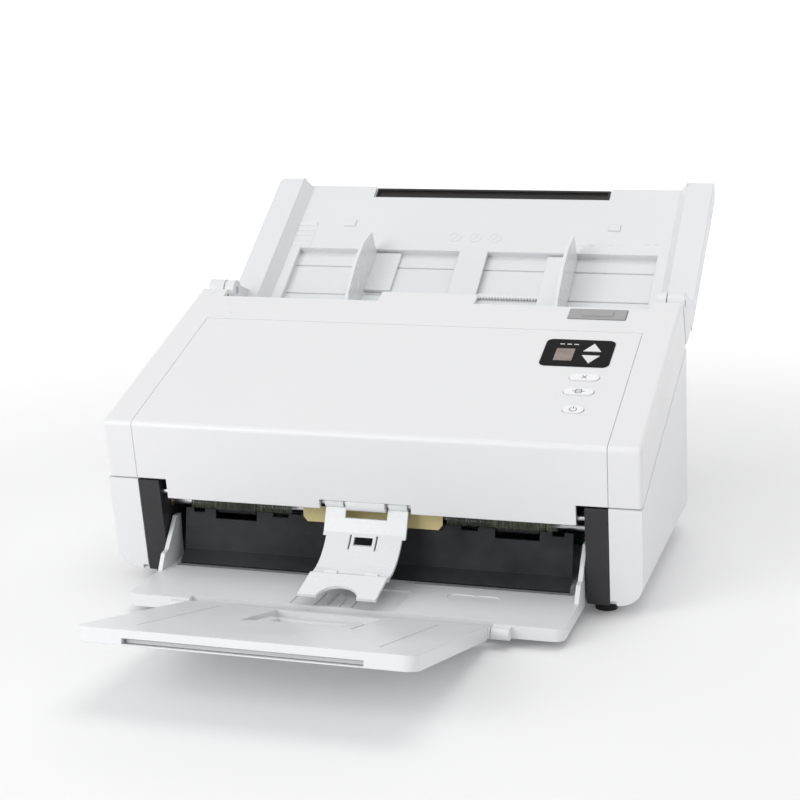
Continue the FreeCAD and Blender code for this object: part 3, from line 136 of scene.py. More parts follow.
def easeEdges(piece, width):
    sharp = math.radians(35)
    workOn(piece)
    bevel = piece.modifiers.new("ease", "BEVEL")
    bevel.width = width
    bevel.segments = 2
    bevel.limit_method = "ANGLE"
    bevel.angle_limit = sharp
    bpy.ops.object.modifier_apply(modifier=bevel.name)
    bpy.ops.object.shade_smooth_by_angle(angle=sharp)


def joinAll(name, pieces):
    clearSelection()
    for piece in pieces:
        piece.select_set(True)
    bpy.context.view_layer.objects.active = pieces[0]
    if len(pieces) > 1:
        bpy.ops.object.join()
    return named(name)


def layOn(piece, face):
    piece.rotation_euler = (math.radians(face["slope"]), 0, 0)
    piece.location = (0, face["y"], face["z"])
    settle(piece)


def copyOf(piece, name):
    clearSelection()
    twin = piece.copy()
    twin.data = piece.data.copy()
    bpy.context.collection.objects.link(twin)
    twin.name = twin.data.name = name
    return twin


def fit(piece, body, material):
    piece.data.materials.clear()
    piece.data.materials.append(material)
    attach(piece, body)


# shader helpers
noiseRange = (0.3, 0.7)  # most of a noise texture lies between these
narrowRange = (0.35, 0.65)


def addNode(tree, kind, settings=None, inputs=None, feeds=None):
    node = tree.nodes.new(kind)
    for key, value in (settings or {}).items():
        setattr(node, key, value)
    for key, value in (inputs or {}).items():
        node.inputs[key].default_value = value
    for key, source in (feeds or {}).items():
        tree.links.new(source, node.inputs[key])
    return node


def startMaterial(name):
    material = bpy.data.materials.new(name)
    material.use_nodes = True
    tree = material.node_tree
    place = addNode(tree, "ShaderNodeTexCoord").outputs["Object"]
    return material, tree, tree.nodes["Principled BSDF"], place


def noise(tree, place, scale, detail=2.0, roughness=0.5):
    inputs = {"Scale": scale, "Detail": detail, "Roughness": roughness}
    node = addNode(tree, "ShaderNodeTexNoise", inputs=inputs, feeds={"Vector": place})
    return node.outputs["Fac"]


def cells(tree, place, scale, randomness=1.0, distance="EUCLIDEAN"):
    inputs = {"Scale": scale, "Randomness": randomness}
    node = addNode(tree, "ShaderNodeTexVoronoi", {"distance": distance}, inputs, {"Vector": place})
    return node.outputs["Distance"]


def stretch(tree, place, scale):
    node = addNode(tree, "ShaderNodeMapping", inputs={"Scale": scale}, feeds={"Vector": place})
    return node.outputs["Vector"]


def spread(tree, source, low, high, outLow=0.0, outHigh=1.0):
    inputs = {"From Min": low, "From Max": high, "To Min": outLow, "To Max": outHigh}
    node = addNode(tree, "ShaderNodeMapRange", inputs=inputs, feeds={"Value": source})
    return node.outputs["Result"]


def feedOrSet(tree, socket, value):
    if isinstance(value, bpy.types.NodeSocket):
        tree.links.new(value, socket)
    elif isinstance(value, tuple):
        socket.default_value = (*value, 1)
    else:
        socket.default_value = value


def blendColour(tree, factor, a, b):
    node = addNode(tree, "ShaderNodeMix", {"data_type": "RGBA"}, feeds={"Factor": factor})
    feedOrSet(tree, node.inputs[6], a)  # the colour sockets of a mix are 6 and 7
    feedOrSet(tree, node.inputs[7], b)
    return node.outputs[2]


def calculate(tree, operation, a, b):
    node = addNode(tree, "ShaderNodeMath", {"operation": operation})
    feedOrSet(tree, node.inputs[0], a)
    feedOrSet(tree, node.inputs[1], b)
    return node.outputs[0]


def paint(tree, shader, colour, roughness):
    tree.links.new(colour, shader.inputs["Base Color"])
    tree.links.new(roughness, shader.inputs["Roughness"])


def raiseSurface(tree, shader, height, strength, depth, under=None):
    feeds = {"Height": height}
    if under is not None:
        feeds["Normal"] = under
    inputs = {"Strength": strength, "Distance": depth}
    bump = addNode(tree, "ShaderNodeBump", inputs=inputs, feeds=feeds)
    tree.links.new(bump.outputs["Normal"], shader.inputs["Normal"])


def setShader(shader, **values):
    names = {"specular": "Specular IOR Level", "coat": "Coat Weight", "metallic": "Metallic",
             "sheen": "Sheen Weight", "transmission": "Transmission Weight", "ior": "IOR"}
    for key, value in values.items():
        shader.inputs[names[key]].default_value = value


edgeMask = {"samples": 4, "flat": 0.995, "sharp": 0.80}


def edgeParts(tree, radius):
    # a softened normal, and a mask that is 1 on sharp outer and inner edges, where a highlight is
    # painted
    soft = addNode(tree, "ShaderNodeBevel", {"samples": edgeMask["samples"]},
                   {"Radius": radius}).outputs["Normal"]
    flat = addNode(tree, "ShaderNodeNewGeometry").outputs["Normal"]
    dot = addNode(tree, "ShaderNodeVectorMath", {"operation": "DOT_PRODUCT"},
                  feeds={0: soft, 1: flat})
    return soft, spread(tree, dot.outputs["Value"], edgeMask["flat"], edgeMask["sharp"])


# moulded plastics: a slow colour drift, a painted highlight on sharp edges, smudged gloss and a
# fine grain
def mouldedPlastic(name, look):
    material, tree, shader, place = startMaterial(name)
    soft, edge = edgeParts(tree, look["edge"])
    flow = noise(tree, place, look["flowScale"], 3.0)
    tone = blendColour(tree, spread(tree, flow, *noiseRange), look["colour"], look["shade"])
    # a paler colour on sharp edges: a painted highlight
    paintedHighlight = calculate(tree, "MULTIPLY", edge, look["edgeHighlightShow"])
    smudge = noise(tree, place, look["smudgeScale"], 6.0, 0.62)
    paint(tree, shader, blendColour(tree, paintedHighlight, tone, look["edgeHighlightColour"]),
          spread(tree, smudge, *noiseRange, *look["roughness"]))
    grain = noise(tree, place, look["grainScale"], 2.0)
    pits = cells(tree, place, look["grainScale"] * 0.7)
    texture = calculate(tree, "ADD", grain, pits)
    raiseSurface(tree, shader, texture, look["grain"], look["grainDepth"], soft)
    setShader(shader, specular=look.get("specular", 0.45))
    return material


# each look's edge colour is a paler painted highlight laid on sharp edges
whiteLook = {
    "colour": (0.80, 0.805, 0.825), "shade": (0.785, 0.79, 0.808),
    "edgeHighlightColour": (0.86, 0.865, 0.88), "edge": 0.0006, "edgeHighlightShow": 0.35, "flowScale": 9.0,
    "smudgeScale": 26.0, "roughness": (0.30, 0.40), "grainScale": 2600.0, "grain": 0.16,
    "grainDepth": 0.00012,
}
casingWhite = mouldedPlastic("moulded white casing", whiteLook)
coverWhite = mouldedPlastic("moulded white cover", {
    **whiteLook, "colour": (0.80, 0.80, 0.812), "shade": (0.788, 0.79, 0.80),
    "roughness": (0.27, 0.36)})
trayWhite = mouldedPlastic("moulded white tray", {
    **whiteLook, "colour": (0.775, 0.785, 0.80), "shade": (0.755, 0.768, 0.785), "edge": 0.0005})
guideWhite = mouldedPlastic("smooth white guide", {
    **whiteLook, "colour": (0.80, 0.82, 0.825), "shade": (0.78, 0.80, 0.81), "edge": 0.0004,
    "roughness": (0.22, 0.32), "grain": 0.07})
buttonWhite = mouldedPlastic("white button cap", {
    **whiteLook, "colour": (0.89, 0.89, 0.90), "shade": (0.87, 0.87, 0.88),
    "edgeHighlightColour": (0.95, 0.95, 0.95), "edge": 0.0003, "grain": 0.08})
pillarDark = mouldedPlastic("dark grained pillar", {
    "colour": (0.030, 0.030, 0.032), "shade": (0.024, 0.024, 0.026),
    "edgeHighlightColour": (0.075, 0.075, 0.078), "edge": 0.0006, "edgeHighlightShow": 0.7, "flowScale": 30.0,
    "smudgeScale": 60.0, "roughness": (0.42, 0.58), "grainScale": 1500.0, "grain": 0.45,
    "grainDepth": 0.0002, "specular": 0.4})
chassisDark = mouldedPlastic("dark moulded chassis", {
    "colour": (0.034, 0.036, 0.039), "shade": (0.016, 0.017, 0.019),
    "edgeHighlightColour": (0.08, 0.08, 0.085), "edge": 0.0004, "edgeHighlightShow": 0.8, "flowScale": 34.0,
    "smudgeScale": 70.0, "roughness": (0.45, 0.70), "grainScale": 1900.0, "grain": 0.3,
    "grainDepth": 0.0002, "specular": 0.22})
gripDark = mouldedPlastic("dark tray grip", {
    "colour": (0.014, 0.013, 0.013), "shade": (0.022, 0.020, 0.019),
    "edgeHighlightColour": (0.06, 0.055, 0.05), "edge": 0.0004, "edgeHighlightShow": 0.6, "flowScale": 60.0,
    "smudgeScale": 50.0, "roughness": (0.35, 0.5), "grainScale": 1700.0, "grain": 0.35,
    "grainDepth": 0.0002})
latchGrey = mouldedPlastic("grey latch", {
    "colour": (0.37, 0.37, 0.375), "shade": (0.345, 0.345, 0.35), "edgeHighlightColour": (0.55, 0.555, 0.56),
    "edge": 0.0004, "edgeHighlightShow": 0.6, "flowScale": 60.0, "smudgeScale": 70.0,
    "roughness": (0.36, 0.5), "grainScale": 2200.0, "grain": 0.3, "grainDepth": 0.00015})
gearWhite = mouldedPlastic("acetal gear", {
    **whiteLook, "colour": (0.66, 0.64, 0.57), "shade": (0.60, 0.58, 0.52), "edge": 0.0002})
portBlack = mouldedPlastic("black socket plastic", {
    "colour": (0.012, 0.012, 0.012), "shade": (0.018, 0.018, 0.018),
    "edgeHighlightColour": (0.05, 0.05, 0.05), "edge": 0.0003, "edgeHighlightShow": 0.5, "flowScale": 80.0,
    "smudgeScale": 120.0, "roughness": (0.3, 0.5), "grainScale": 2400.0, "grain": 0.25,
    "grainDepth": 0.00015})
arrowWhite = mouldedPlastic("white arrow key", {
    **whiteLook, "colour": (0.78, 0.78, 0.78), "shade": (0.74, 0.74, 0.745), "edge": 0.0002,
    "grain": 0.1})


# piano black with fine dust, a few wiping marks and a painted highlight on sharp edges
bezelLook = {
    "colour": (0.004, 0.004, 0.005), "dustColour": (0.05, 0.05, 0.05),
    "edgeHighlightColour": (0.02, 0.02, 0.022), "edge": 0.0003, "dustScale": 1800.0, "dust": (0.70, 0.78),
    "wipeLines": (12.0, 90.0, 40.0), "wipeScale": 3.0, "wipes": (0.35, 0.75),
    "roughness": (0.05, 0.17), "specular": 0.10,
}


def glossBezel():
    material, tree, shader, place = startMaterial("gloss black bezel")
    soft, edge = edgeParts(tree, bezelLook["edge"])
    specks = spread(tree, noise(tree, place, bezelLook["dustScale"], 1.0), *bezelLook["dust"])
    tone = blendColour(tree, specks, bezelLook["colour"], bezelLook["dustColour"])
    lines = stretch(tree, place, bezelLook["wipeLines"])
    wiping = noise(tree, lines, bezelLook["wipeScale"], 5.0, 0.6)
    # sharp edges get a paler colour: a painted highlight
    paint(tree, shader, blendColour(tree, edge, tone, bezelLook["edgeHighlightColour"]),
          spread(tree, wiping, *bezelLook["wipes"], *bezelLook["roughness"]))
    tree.links.new(soft, shader.inputs["Normal"])
    setShader(shader, specular=bezelLook["specular"])
    return material


# unlit liquid crystal: a warm grey field under a fine dot grid
displayLook = {
    "colour": (0.25, 0.20, 0.17), "pale": (0.36, 0.30, 0.26), "dotColour": (0.15, 0.12, 0.10),
    "driftScale": 90.0, "dotScale": 2600.0, "dotEdge": (0.38, 0.48), "dotShow": 0.5,
    "polish": (0.2, 0.8), "roughness": (0.10, 0.2), "coat": 0.5,
}


def displayPanel():
    material, tree, shader, place = startMaterial("unlit display")
    drift = noise(tree, place, displayLook["driftScale"], 2.0)
    patches = spread(tree, drift, *narrowRange)
    tone = blendColour(tree, patches, displayLook["colour"], displayLook["pale"])
    dots = cells(tree, place, displayLook["dotScale"], 0.0, "CHEBYCHEV")
    grid = spread(tree, dots, *displayLook["dotEdge"], 0.0, displayLook["dotShow"])
    paint(tree, shader, blendColour(tree, grid, tone, displayLook["dotColour"]),
          spread(tree, drift, *displayLook["polish"], *displayLook["roughness"]))
    setShader(shader, coat=displayLook["coat"])
    return material


# matt rubber, clouded with dust
rubberLook = {
    "dusty": (2.2, 2.2, 2.1), "cloudScale": 240.0, "clouds": (0.35, 0.75),
    "roughnessDrift": 0.08, "grainScale": 3200.0, "grain": 0.5, "grainDepth": 0.0002,
    "specular": 0.3,
}


def rubberBlack(name, roughness, colour):
    material, tree, shader, place = startMaterial(name)
    cloud = noise(tree, place, rubberLook["cloudScale"], 4.0, 0.6)
    dusty = tuple(part * more for part, more in zip(colour, rubberLook["dusty"]))
    drift = rubberLook["roughnessDrift"]
    dust = spread(tree, cloud, *rubberLook["clouds"])
    paint(tree, shader, blendColour(tree, dust, colour, dusty),
          spread(tree, cloud, *noiseRange, roughness - drift, roughness + drift))
    fine = noise(tree, place, rubberLook["grainScale"], 3.0, 0.7)
    raiseSurface(tree, shader, fine, rubberLook["grain"], rubberLook["grainDepth"])
    setShader(shader, specular=rubberLook["specular"])
    return material


# drawn or turned metal: fine lines along one axis, a clouded polish and a painted highlight on
# sharp edges
metalLook = {"edge": 0.0002, "edgeHighlightShow": 0.5, "lineScale": 40.0, "cloudScale": 130.0,
             "scratch": 0.15, "scratchDepth": 0.0001, "metallic": 1.0}


def metalFinish(name, look):
    look = {**metalLook, **look}
    material, tree, shader, place = startMaterial(name)
    soft, edge = edgeParts(tree, look["edge"])
    drawn = noise(tree, stretch(tree, place, look["lines"]), look["lineScale"], 4.0, 0.7)
    cloud = noise(tree, place, look["cloudScale"], 3.0)
    tone = blendColour(tree, spread(tree, cloud, *noiseRange), look["colour"], look["shade"])
    # sharp edges get a brighter colour: a painted highlight
    paintedMetalHighlight = calculate(tree, "MULTIPLY", edge, look["edgeHighlightShow"])
    paint(tree, shader, blendColour(tree, paintedMetalHighlight, tone, look["edgeHighlightColour"]),
          spread(tree, drawn, *noiseRange, *look["roughness"]))
    raiseSurface(tree, shader, drawn, look["scratch"], look["scratchDepth"], soft)
    setShader(shader, metallic=look["metallic"])
    return material


glassLook = {"colour": (0.86, 0.94, 0.92), "pale": (0.92, 0.97, 0.96), "hazeScale": 70.0,
             "haze": (0.4, 0.8), "roughness": (0.02, 0.10), "transmission": 0.92, "ior": 1.5}


def clearGlass():
    material, tree, shader, place = startMaterial("scan glass")
    haze = noise(tree, place, glassLook["hazeScale"], 5.0, 0.6)
    paint(tree, shader, blendColour(tree, haze, glassLook["colour"], glassLook["pale"]),
          spread(tree, haze, *glassLook["haze"], *glassLook["roughness"]))
    setShader(shader, transmission=glassLook["transmission"], ior=glassLook["ior"])
    return material


# green solder mask with copper tracks under it and bright pads
boardLook = {
    "colour": (0.012, 0.10, 0.035), "track": (0.03, 0.20, 0.075), "pad": (0.55, 0.50, 0.38),
    "tracks": {"Scale": 210.0, "Mortar Size": 0.05, "Brick Width": 1.7, "Row Height": 0.5},
    "padScale": 240.0, "padScatter": 0.8, "padEdge": (0.10, 0.14), "roughness": (0.25, 0.4),
    "relief": 0.4, "reliefDepth": 0.0001,
}


def circuitBoard():
    material, tree, shader, place = startMaterial("circuit board")
    brick = addNode(tree, "ShaderNodeTexBrick", inputs=boardLook["tracks"], feeds={"Vector": place})
    between = brick.outputs["Fac"]
    tracks = blendColour(tree, between, boardLook["colour"], boardLook["track"])
    pads = cells(tree, place, boardLook["padScale"], boardLook["padScatter"])
    dots = spread(tree, pads, *boardLook["padEdge"], 1.0, 0.0)
    paint(tree, shader, blendColour(tree, dots, tracks, boardLook["pad"]),
          spread(tree, between, 0.0, 1.0, *boardLook["roughness"]))
    raiseSurface(tree, shader, between, boardLook["relief"], boardLook["reliefDepth"])
    return material


filmLook = {"colour": (0.70, 0.58, 0.26), "pale": (0.78, 0.67, 0.34), "cloudScale": 45.0,
            "roughness": (0.2, 0.38), "wave": 0.3, "waveDepth": 0.0004, "transmission": 0.12}


def yellowFilm():
    material, tree, shader, place = startMaterial("amber film")
    cloud = noise(tree, place, filmLook["cloudScale"], 2.0)
    paint(tree, shader, blendColour(tree, cloud, filmLook["colour"], filmLook["pale"]),
          spread(tree, cloud, *noiseRange, *filmLook["roughness"]))
    raiseSurface(tree, shader, cloud, filmLook["wave"], filmLook["waveDepth"])
    setShader(shader, transmission=filmLook["transmission"])
    return material


# each fibre keeps one tone along its length, and darker patches drift over the row
bristleLook = {
    "colour": (0.040, 0.048, 0.032), "pale": (0.17, 0.19, 0.125), "patch": (0.030, 0.034, 0.022),
    "strands": (900.0, 2.0, 2.0), "patchScale": 55.0, "patches": (0.40, 0.66), "patchShow": 0.75,
    "roughness": (0.45, 0.65), "sheen": 0.2,
}


def bristleFibre():
    material, tree, shader, place = startMaterial("olive bristles")
    strand = noise(tree, stretch(tree, place, bristleLook["strands"]), 1.0, 1.0)
    light = spread(tree, strand, *narrowRange)
    tone = blendColour(tree, light, bristleLook["colour"], bristleLook["pale"])
    patch = noise(tree, place, bristleLook["patchScale"], 2.0)
    shaded = spread(tree, patch, *bristleLook["patches"], 0.0, bristleLook["patchShow"])
    paint(tree, shader, blendColour(tree, shaded, tone, bristleLook["patch"]),
          spread(tree, strand, *noiseRange, *bristleLook["roughness"]))
    setShader(shader, sheen=bristleLook["sheen"])
    return material


finishes = {
    "casing_white": casingWhite,
    "cover_white": coverWhite,
    "tray_white": trayWhite,
    "guide_white": guideWhite,
    "button_white": buttonWhite,
    "pillar_dark": pillarDark,
    "chassis_dark": chassisDark,
    "grip_dark": gripDark,
    "latch_grey": latchGrey,
    "gear_white": gearWhite,
    "port_black": portBlack,
    "arrow_white": arrowWhite,
    "bezel_black": glossBezel(),
    "display": displayPanel(),
    "roller_rubber": rubberBlack("roller rubber", 0.62, (0.022, 0.022, 0.024)),
    "rubber_black": rubberBlack("soft black rubber", 0.72, (0.014, 0.014, 0.014)),
    "steel": metalFinish("ground steel", {
        "colour": (0.56, 0.56, 0.57), "shade": (0.48, 0.48, 0.50), "edgeHighlightColour": (0.8, 0.8, 0.8),
        "lines": (4.0, 60.0, 60.0), "roughness": (0.22, 0.36)}),
    "bush": metalFinish("sintered bush", {
        "colour": (0.50, 0.36, 0.15), "shade": (0.42, 0.30, 0.13), "edgeHighlightColour": (0.7, 0.55, 0.3),
        "lines": (30.0, 30.0, 30.0), "roughness": (0.4, 0.55)}),
    "port_metal": metalFinish("plated socket shell", {
        "colour": (0.62, 0.62, 0.64), "shade": (0.52, 0.52, 0.54), "edgeHighlightColour": (0.85, 0.85, 0.85),
        "lines": (20.0, 6.0, 20.0), "roughness": (0.14, 0.28)}),
    "motor_metal": metalFinish("painted motor can", {
        "colour": (0.10, 0.10, 0.11), "shade": (0.07, 0.07, 0.08), "edgeHighlightColour": (0.3, 0.3, 0.3),
        "lines": (10.0, 40.0, 40.0), "roughness": (0.35, 0.5), "metallic": 0.4}),
    "glass_clear": clearGlass(),
    "board_green": circuitBoard(),
    "film_yellow": yellowFilm(),
    "bristle": bristleFibre(),
}
for nodeName, nodeObject in frame["nodes"].items():
    nodeObject.data.materials.clear()
    nodeObject.data.materials.append(finishes[slotOfNode[nodeName]])
print("finishes on", len(frame["nodes"]), "parts")


# brush along the sheet exit: fine fibres that hang over the black plate
brush = {
    "spans": ((-0.1128, -0.0442), (0.0442, 0.1128)), "y": -0.04395, "root": 0.0504, "tip": 0.0452,
    "fibre": 0.00016, "fibreSides": 5, "tipWidth": 0.45, "tuftWidth": 0.0049, "perTuft": 17,
    "startGap": 0.0004, "endGap": 0.0006, "sideways": 0.0003, "lean": 0.0005, "leanBack": 0.4,
    "uneven": 0.0011, "seed": 11,
}


def makeFibre(name, x, y, lean, tip):
    # a fibre is a thin rod, narrowed and pushed sideways at its lower end
    clearSelection()
    length = brush["root"] - tip
    bpy.ops.mesh.primitive_cylinder_add(vertices=brush["fibreSides"], radius=brush["fibre"],
                                        depth=length, location=(x, y, brush["root"] - length / 2))
    fibre = named(name)
    settle(fibre)
    pickFaces(fibre, lambda centre, normal: normal.z < -0.9)
    bpy.ops.transform.resize(value=(brush["tipWidth"], brush["tipWidth"], 1))
    bpy.ops.transform.translate(value=(lean, lean * brush["leanBack"], 0))
    leaveEdit()
    return fibre


def makeTuft(name, low, step):
    fibres = []
    for index in range(brush["perTuft"]):
        x = low + brush["startGap"] + step * (index + random.uniform(0.1, 0.9)) / brush["perTuft"]
        y = brush["y"] + random.uniform(-brush["sideways"], brush["sideways"])
        tip = brush["tip"] + random.uniform(0.0, brush["uneven"])
        lean = random.uniform(-brush["lean"], brush["lean"])
        fibres.append(makeFibre("fibre", x, y, lean, tip))
    return joinAll(name, fibres)


def makeBrush():
    # each span has two layers of tufts at slightly different steps, so that no repeat shows
    random.seed(brush["seed"])
    strips = []
    for low, high in brush["spans"]:
        looseStep = (high - low) / (int((high - low) / brush["tuftWidth"]) - 3)
        for layer, step in enumerate((brush["tuftWidth"], looseStep)):
            tuft = makeTuft("tuft%d" % layer, low, step)
            workOn(tuft)
            row = tuft.modifiers.new("row", "ARRAY")
            row.count = int((high - low - brush["endGap"]) / step)
            row.use_relative_offset = False
            row.use_constant_offset = True
            row.constant_offset_displace = (step, 0, 0)
            bpy.ops.object.modifier_apply(modifier=row.name)
            strips.append(tuft)
    piece = joinAll("exitBristles", strips)
    fit(piece, bodyOfNode["exit_brush"], finishes["bristle"])
    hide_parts("exit_brush")


makeBrush()
print("brush fibres laid")


# generic signs printed on the control panel, placed by x and by the distance up the cover's slope
marks = {
    "buttonTop": 0.00062, "panelTop": 0.00037, "thick": 0.00006, "line": 0.00045, "corner": 0.3,
    "ringSteps": 28,
    "cross": {"x": 0.1142, "s": 0.0720, "length": 0.0042, "turns": (40, -40)},
    "page": {"x": 0.1137, "s": 0.0562, "height": 0.0042, "width": 0.0036, "halfWidth": 0.0016,
             "halfHeight": 0.0019, "scanLine": 0.0070},
    "power": {"x": 0.1141, "s": 0.0367, "radius": 0.0020, "start": 55, "sweep": 290,
              "stemUp": 0.0018, "stem": 0.0026},
    "menu": {"x": 0.0945, "s": 0.1092, "step": 0.0042, "count": 3, "width": 0.0028,
             "height": 0.0009},
}
printGrey = mouldedPlastic("grey printed mark", {
    "colour": (0.11, 0.115, 0.12), "shade": (0.15, 0.155, 0.16), "edgeHighlightColour": (0.2, 0.2, 0.2),
    "edge": 0.0001, "edgeHighlightShow": 0.2, "flowScale": 300.0, "smudgeScale": 400.0,
    "roughness": (0.4, 0.55), "grainScale": 3500.0, "grain": 0.1, "grainDepth": 0.00005})


def markBar(x, s, width, length, turn, up):
    # a printed stroke with softened corners, its middle at (x, s) on the sloping face
    low = (-width / 2, -length / 2, up)
    bar = startBlock("stroke", low, (width / 2, length / 2, up + marks["thick"]))
    pickEdges(bar, lambda a, b: abs(a.z - b.z) > marks["thick"] / 2)
    bpy.ops.mesh.bevel(offset=min(width, length) * marks["corner"], segments=3)
    leaveEdit()
    bar.rotation_euler = (0, 0, math.radians(turn))
    bar.location = (x, s, 0)
    settle(bar)
    return bar


def markRing(x, s, radius, line, start, sweep, up):
    # a printed arc: a short stroke spun about the middle of the sign, its ends closed
    clearSelection()
    middle = up + marks["thick"] / 2
    begin = math.radians(start)
    bpy.ops.mesh.primitive_plane_add(size=1, location=(x, s, middle))
    ring = named("arc")
    ring.rotation_euler = (math.radians(90), 0, begin)
    ring.scale = (line, marks["thick"], 1)
    ring.location = (x + radius * math.cos(begin), s + radius * math.sin(begin), middle)
    settle(ring)
    pickAll(ring)
    bpy.ops.mesh.spin(steps=marks["ringSteps"], angle=math.radians(sweep), center=(x, s, 0),
                      axis=(0, 0, 1))
    bpy.ops.mesh.select_all(action="SELECT")
    bpy.ops.mesh.remove_doubles(threshold=0.00001)
    bpy.ops.mesh.select_all(action="DESELECT")
    bpy.ops.mesh.select_mode(type="EDGE")
    bpy.ops.mesh.select_non_manifold()
    bpy.ops.mesh.edge_face_add()
    leaveEdit()
    outward(ring)
    return ring


def crossStrokes(up, line):
    cross = marks["cross"]
    return [markBar(cross["x"], cross["s"], line, cross["length"], turn, up)
            for turn in cross["turns"]]


def pageStrokes(up, line):
    page = marks["page"]
    x, s = page["x"], page["s"]
    sides = [markBar(x + side * page["halfWidth"], s, line, page["height"], 0, up)
             for side in (-1, 1)]
    ends = [markBar(x, s + end * page["halfHeight"], page["width"], line, 0, up)
            for end in (1, -1)]
    return sides + ends + [markBar(x, s, page["scanLine"], line, 0, up)]


def powerStrokes(up, line):
    power = marks["power"]
    x, s = power["x"], power["s"]
    return [markRing(x, s, power["radius"], line, power["start"], power["sweep"], up),
            markBar(x, s + power["stemUp"], line, power["stem"], 0, up)]


def makeMarks():
    for name, strokes, body in (("cancelMark", crossStrokes, "cancel_button"),
                                ("scanMark", pageStrokes, "scan_button"),
                                ("powerMark", powerStrokes, "power_button")):
        sign = joinAll(name, strokes(marks["buttonTop"], marks["line"]))
        layOn(sign, coverFace)
        fit(sign, body, printGrey)
    menu = marks["menu"]
    rows = [markBar(menu["x"] + index * menu["step"], menu["s"], menu["width"], menu["height"], 0,
                    marks["panelTop"]) for index in range(menu["count"])]
    panel = joinAll("panelMark", rows)
    layOn(panel, coverFace)
    fit(panel, "cover", finishes["arrow_white"])


makeMarks()
print("panel marks printed")


# raised signs moulded into the input tray, placed by x and by the distance up the tray's slope
traySigns = {
    "line": 0.0008, "raise": 4,
    "rings": {"x": (-0.0165, -0.002, 0.0125), "s": 0.1125, "radius": 0.0042, "sweep": 359.9,
              "bar": 0.0060, "turn": -35},
    "dashes": {"x": (0.074, 0.081, 0.094, 0.101, 0.118, 0.124), "s": 0.1065, "climb": 0.0006,
               "width": 0.0030, "height": 0.0012},
    "sheets": {"x": -0.1275, "s": 0.100, "pitch": 0.0055, "count": 4, "width": 0.0130},
    "head": {"s": 0.1235, "width": 0.0140, "height": 0.0042},
    "frame": {"x": (-0.1345, -0.1205), "s": 0.111, "height": 0.0260},
}


def makeTrayMarks():
    signs = []
    line = traySigns["line"]
    rings, dashes, sheets = traySigns["rings"], traySigns["dashes"], traySigns["sheets"]
    head, sides = traySigns["head"], traySigns["frame"]
    for x in rings["x"]:
        signs.append(markRing(x, rings["s"], rings["radius"], line, 0, rings["sweep"], 0.0))
        signs.append(markBar(x, rings["s"], line, rings["bar"], rings["turn"], 0.0))
    for index, x in enumerate(dashes["x"]):
        climbed = dashes["s"] + dashes["climb"] * index
        signs.append(markBar(x, climbed, dashes["width"], dashes["height"], 0, 0.0))
    for row in range(sheets["count"]):
        climbed = sheets["s"] + row * sheets["pitch"]
        signs.append(markBar(sheets["x"], climbed, sheets["width"], line, 0, 0.0))
    signs.append(markBar(sheets["x"], head["s"], head["width"], head["height"], 0, 0.0))
    for x in sides["x"]:
        signs.append(markBar(x, sides["s"], line, sides["height"], 0, 0.0))
    relief = joinAll("trayMarks", signs)
    workOn(relief)
    relief.scale = (1, 1, traySigns["raise"])
    settle(relief)
    outward(relief)
    layOn(relief, trayFace)
    raised = mouldedPlastic("raised tray sign", {
        **whiteLook, "colour": (0.80, 0.805, 0.815), "edge": 0.00008})
    fit(relief, "input_tray", raised)


makeTrayMarks()
print("tray signs raised")


def makeLatchSpring():
    coil = copyOf(frame["nodes"]["latch_spring"], "latchCoil")
    pickAll(coil)
    bpy.ops.mesh.remove_doubles(threshold=0.000001)
    leaveEdit()
    bpy.ops.object.shade_smooth_by_angle(angle=math.radians(40))
    fit(coil, bodyOfNode["latch_spring"], finishes["steel"])
    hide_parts("latch_spring")
    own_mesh(coil)


makeLatchSpring()
print("latch coil wound")


# contacts in the sockets at the back
sockets = {
    "usb": {"x": 0.088, "z": 0.030, "halfWidth": 0.0025, "halfHeight": 0.0016,
            "front": 0.1210, "back": 0.1290, "ease": 0.0003},
    "jack": {"x": 0.060, "y": 0.125, "z": 0.030, "radius": 0.001, "length": 0.008, "sides": 24,
             "ease": 0.0004},
}


def makeContacts():
    usb, jack = sockets["usb"], sockets["jack"]
    tongue = startBlock("usbTongue",
                        (usb["x"] - usb["halfWidth"], usb["front"], usb["z"] - usb["halfHeight"]),
                        (usb["x"] + usb["halfWidth"], usb["back"], usb["z"] + usb["halfHeight"]))
    easeEdges(tongue, usb["ease"])
    fit(tongue, "base", finishes["port_black"])
    clearSelection()
    bpy.ops.mesh.primitive_cylinder_add(
        vertices=jack["sides"], radius=jack["radius"], depth=jack["length"],
        location=(jack["x"], jack["y"], jack["z"]), rotation=(math.radians(90), 0, 0))
    pin = named("jackPin")
    settle(pin)
    pickFaces(pin, lambda centre, normal: abs(normal.y) > 0.9)
    bpy.ops.mesh.bevel(offset=jack["ease"], segments=3)
    leaveEdit()
    fit(pin, "base", finishes["port_metal"])


makeContacts()
print("socket contacts fitted")


# studio: camera, lamps and floor
cameraSetting = {"place": (0.29519, -0.96484, 0.32717), "yaw": 0.29264, "pitch": -0.21531,
                 "roll": 0.01588, "lens": 78.50, "sensor": 36.0}


def placeCamera():
    cameraData = bpy.data.cameras.new("studioCamera")
    camera = bpy.data.objects.new("studioCamera", cameraData)
    bpy.context.collection.objects.link(camera)
    cameraData.lens = cameraSetting["lens"]
    cameraData.sensor_width = cameraSetting["sensor"]
    turn = Matrix.Rotation(cameraSetting["yaw"], 3, "Z")
    level = math.radians(90)  # a camera looks down until it is tipped up level
    for angle, axis in ((cameraSetting["pitch"], "X"), (cameraSetting["roll"], "Y"), (level, "X")):
        turn = turn @ Matrix.Rotation(angle, 3, axis)
    camera.matrix_world = Matrix.Translation(cameraSetting["place"]) @ turn.to_4x4()
    bpy.context.scene.camera = camera


lamps = {
    "keyLamp": {"place": (-0.9, -1.6, 0.9), "size": 1.1, "power": 15.0},
    "topLamp": {"place": (0.3, -0.1, 2.0), "size": 1.2, "power": 8.0},
}
surround = {"aim": (0, 0, 0.08), "colour": (1.0, 1.0, 1.0, 1), "strength": 0.62}


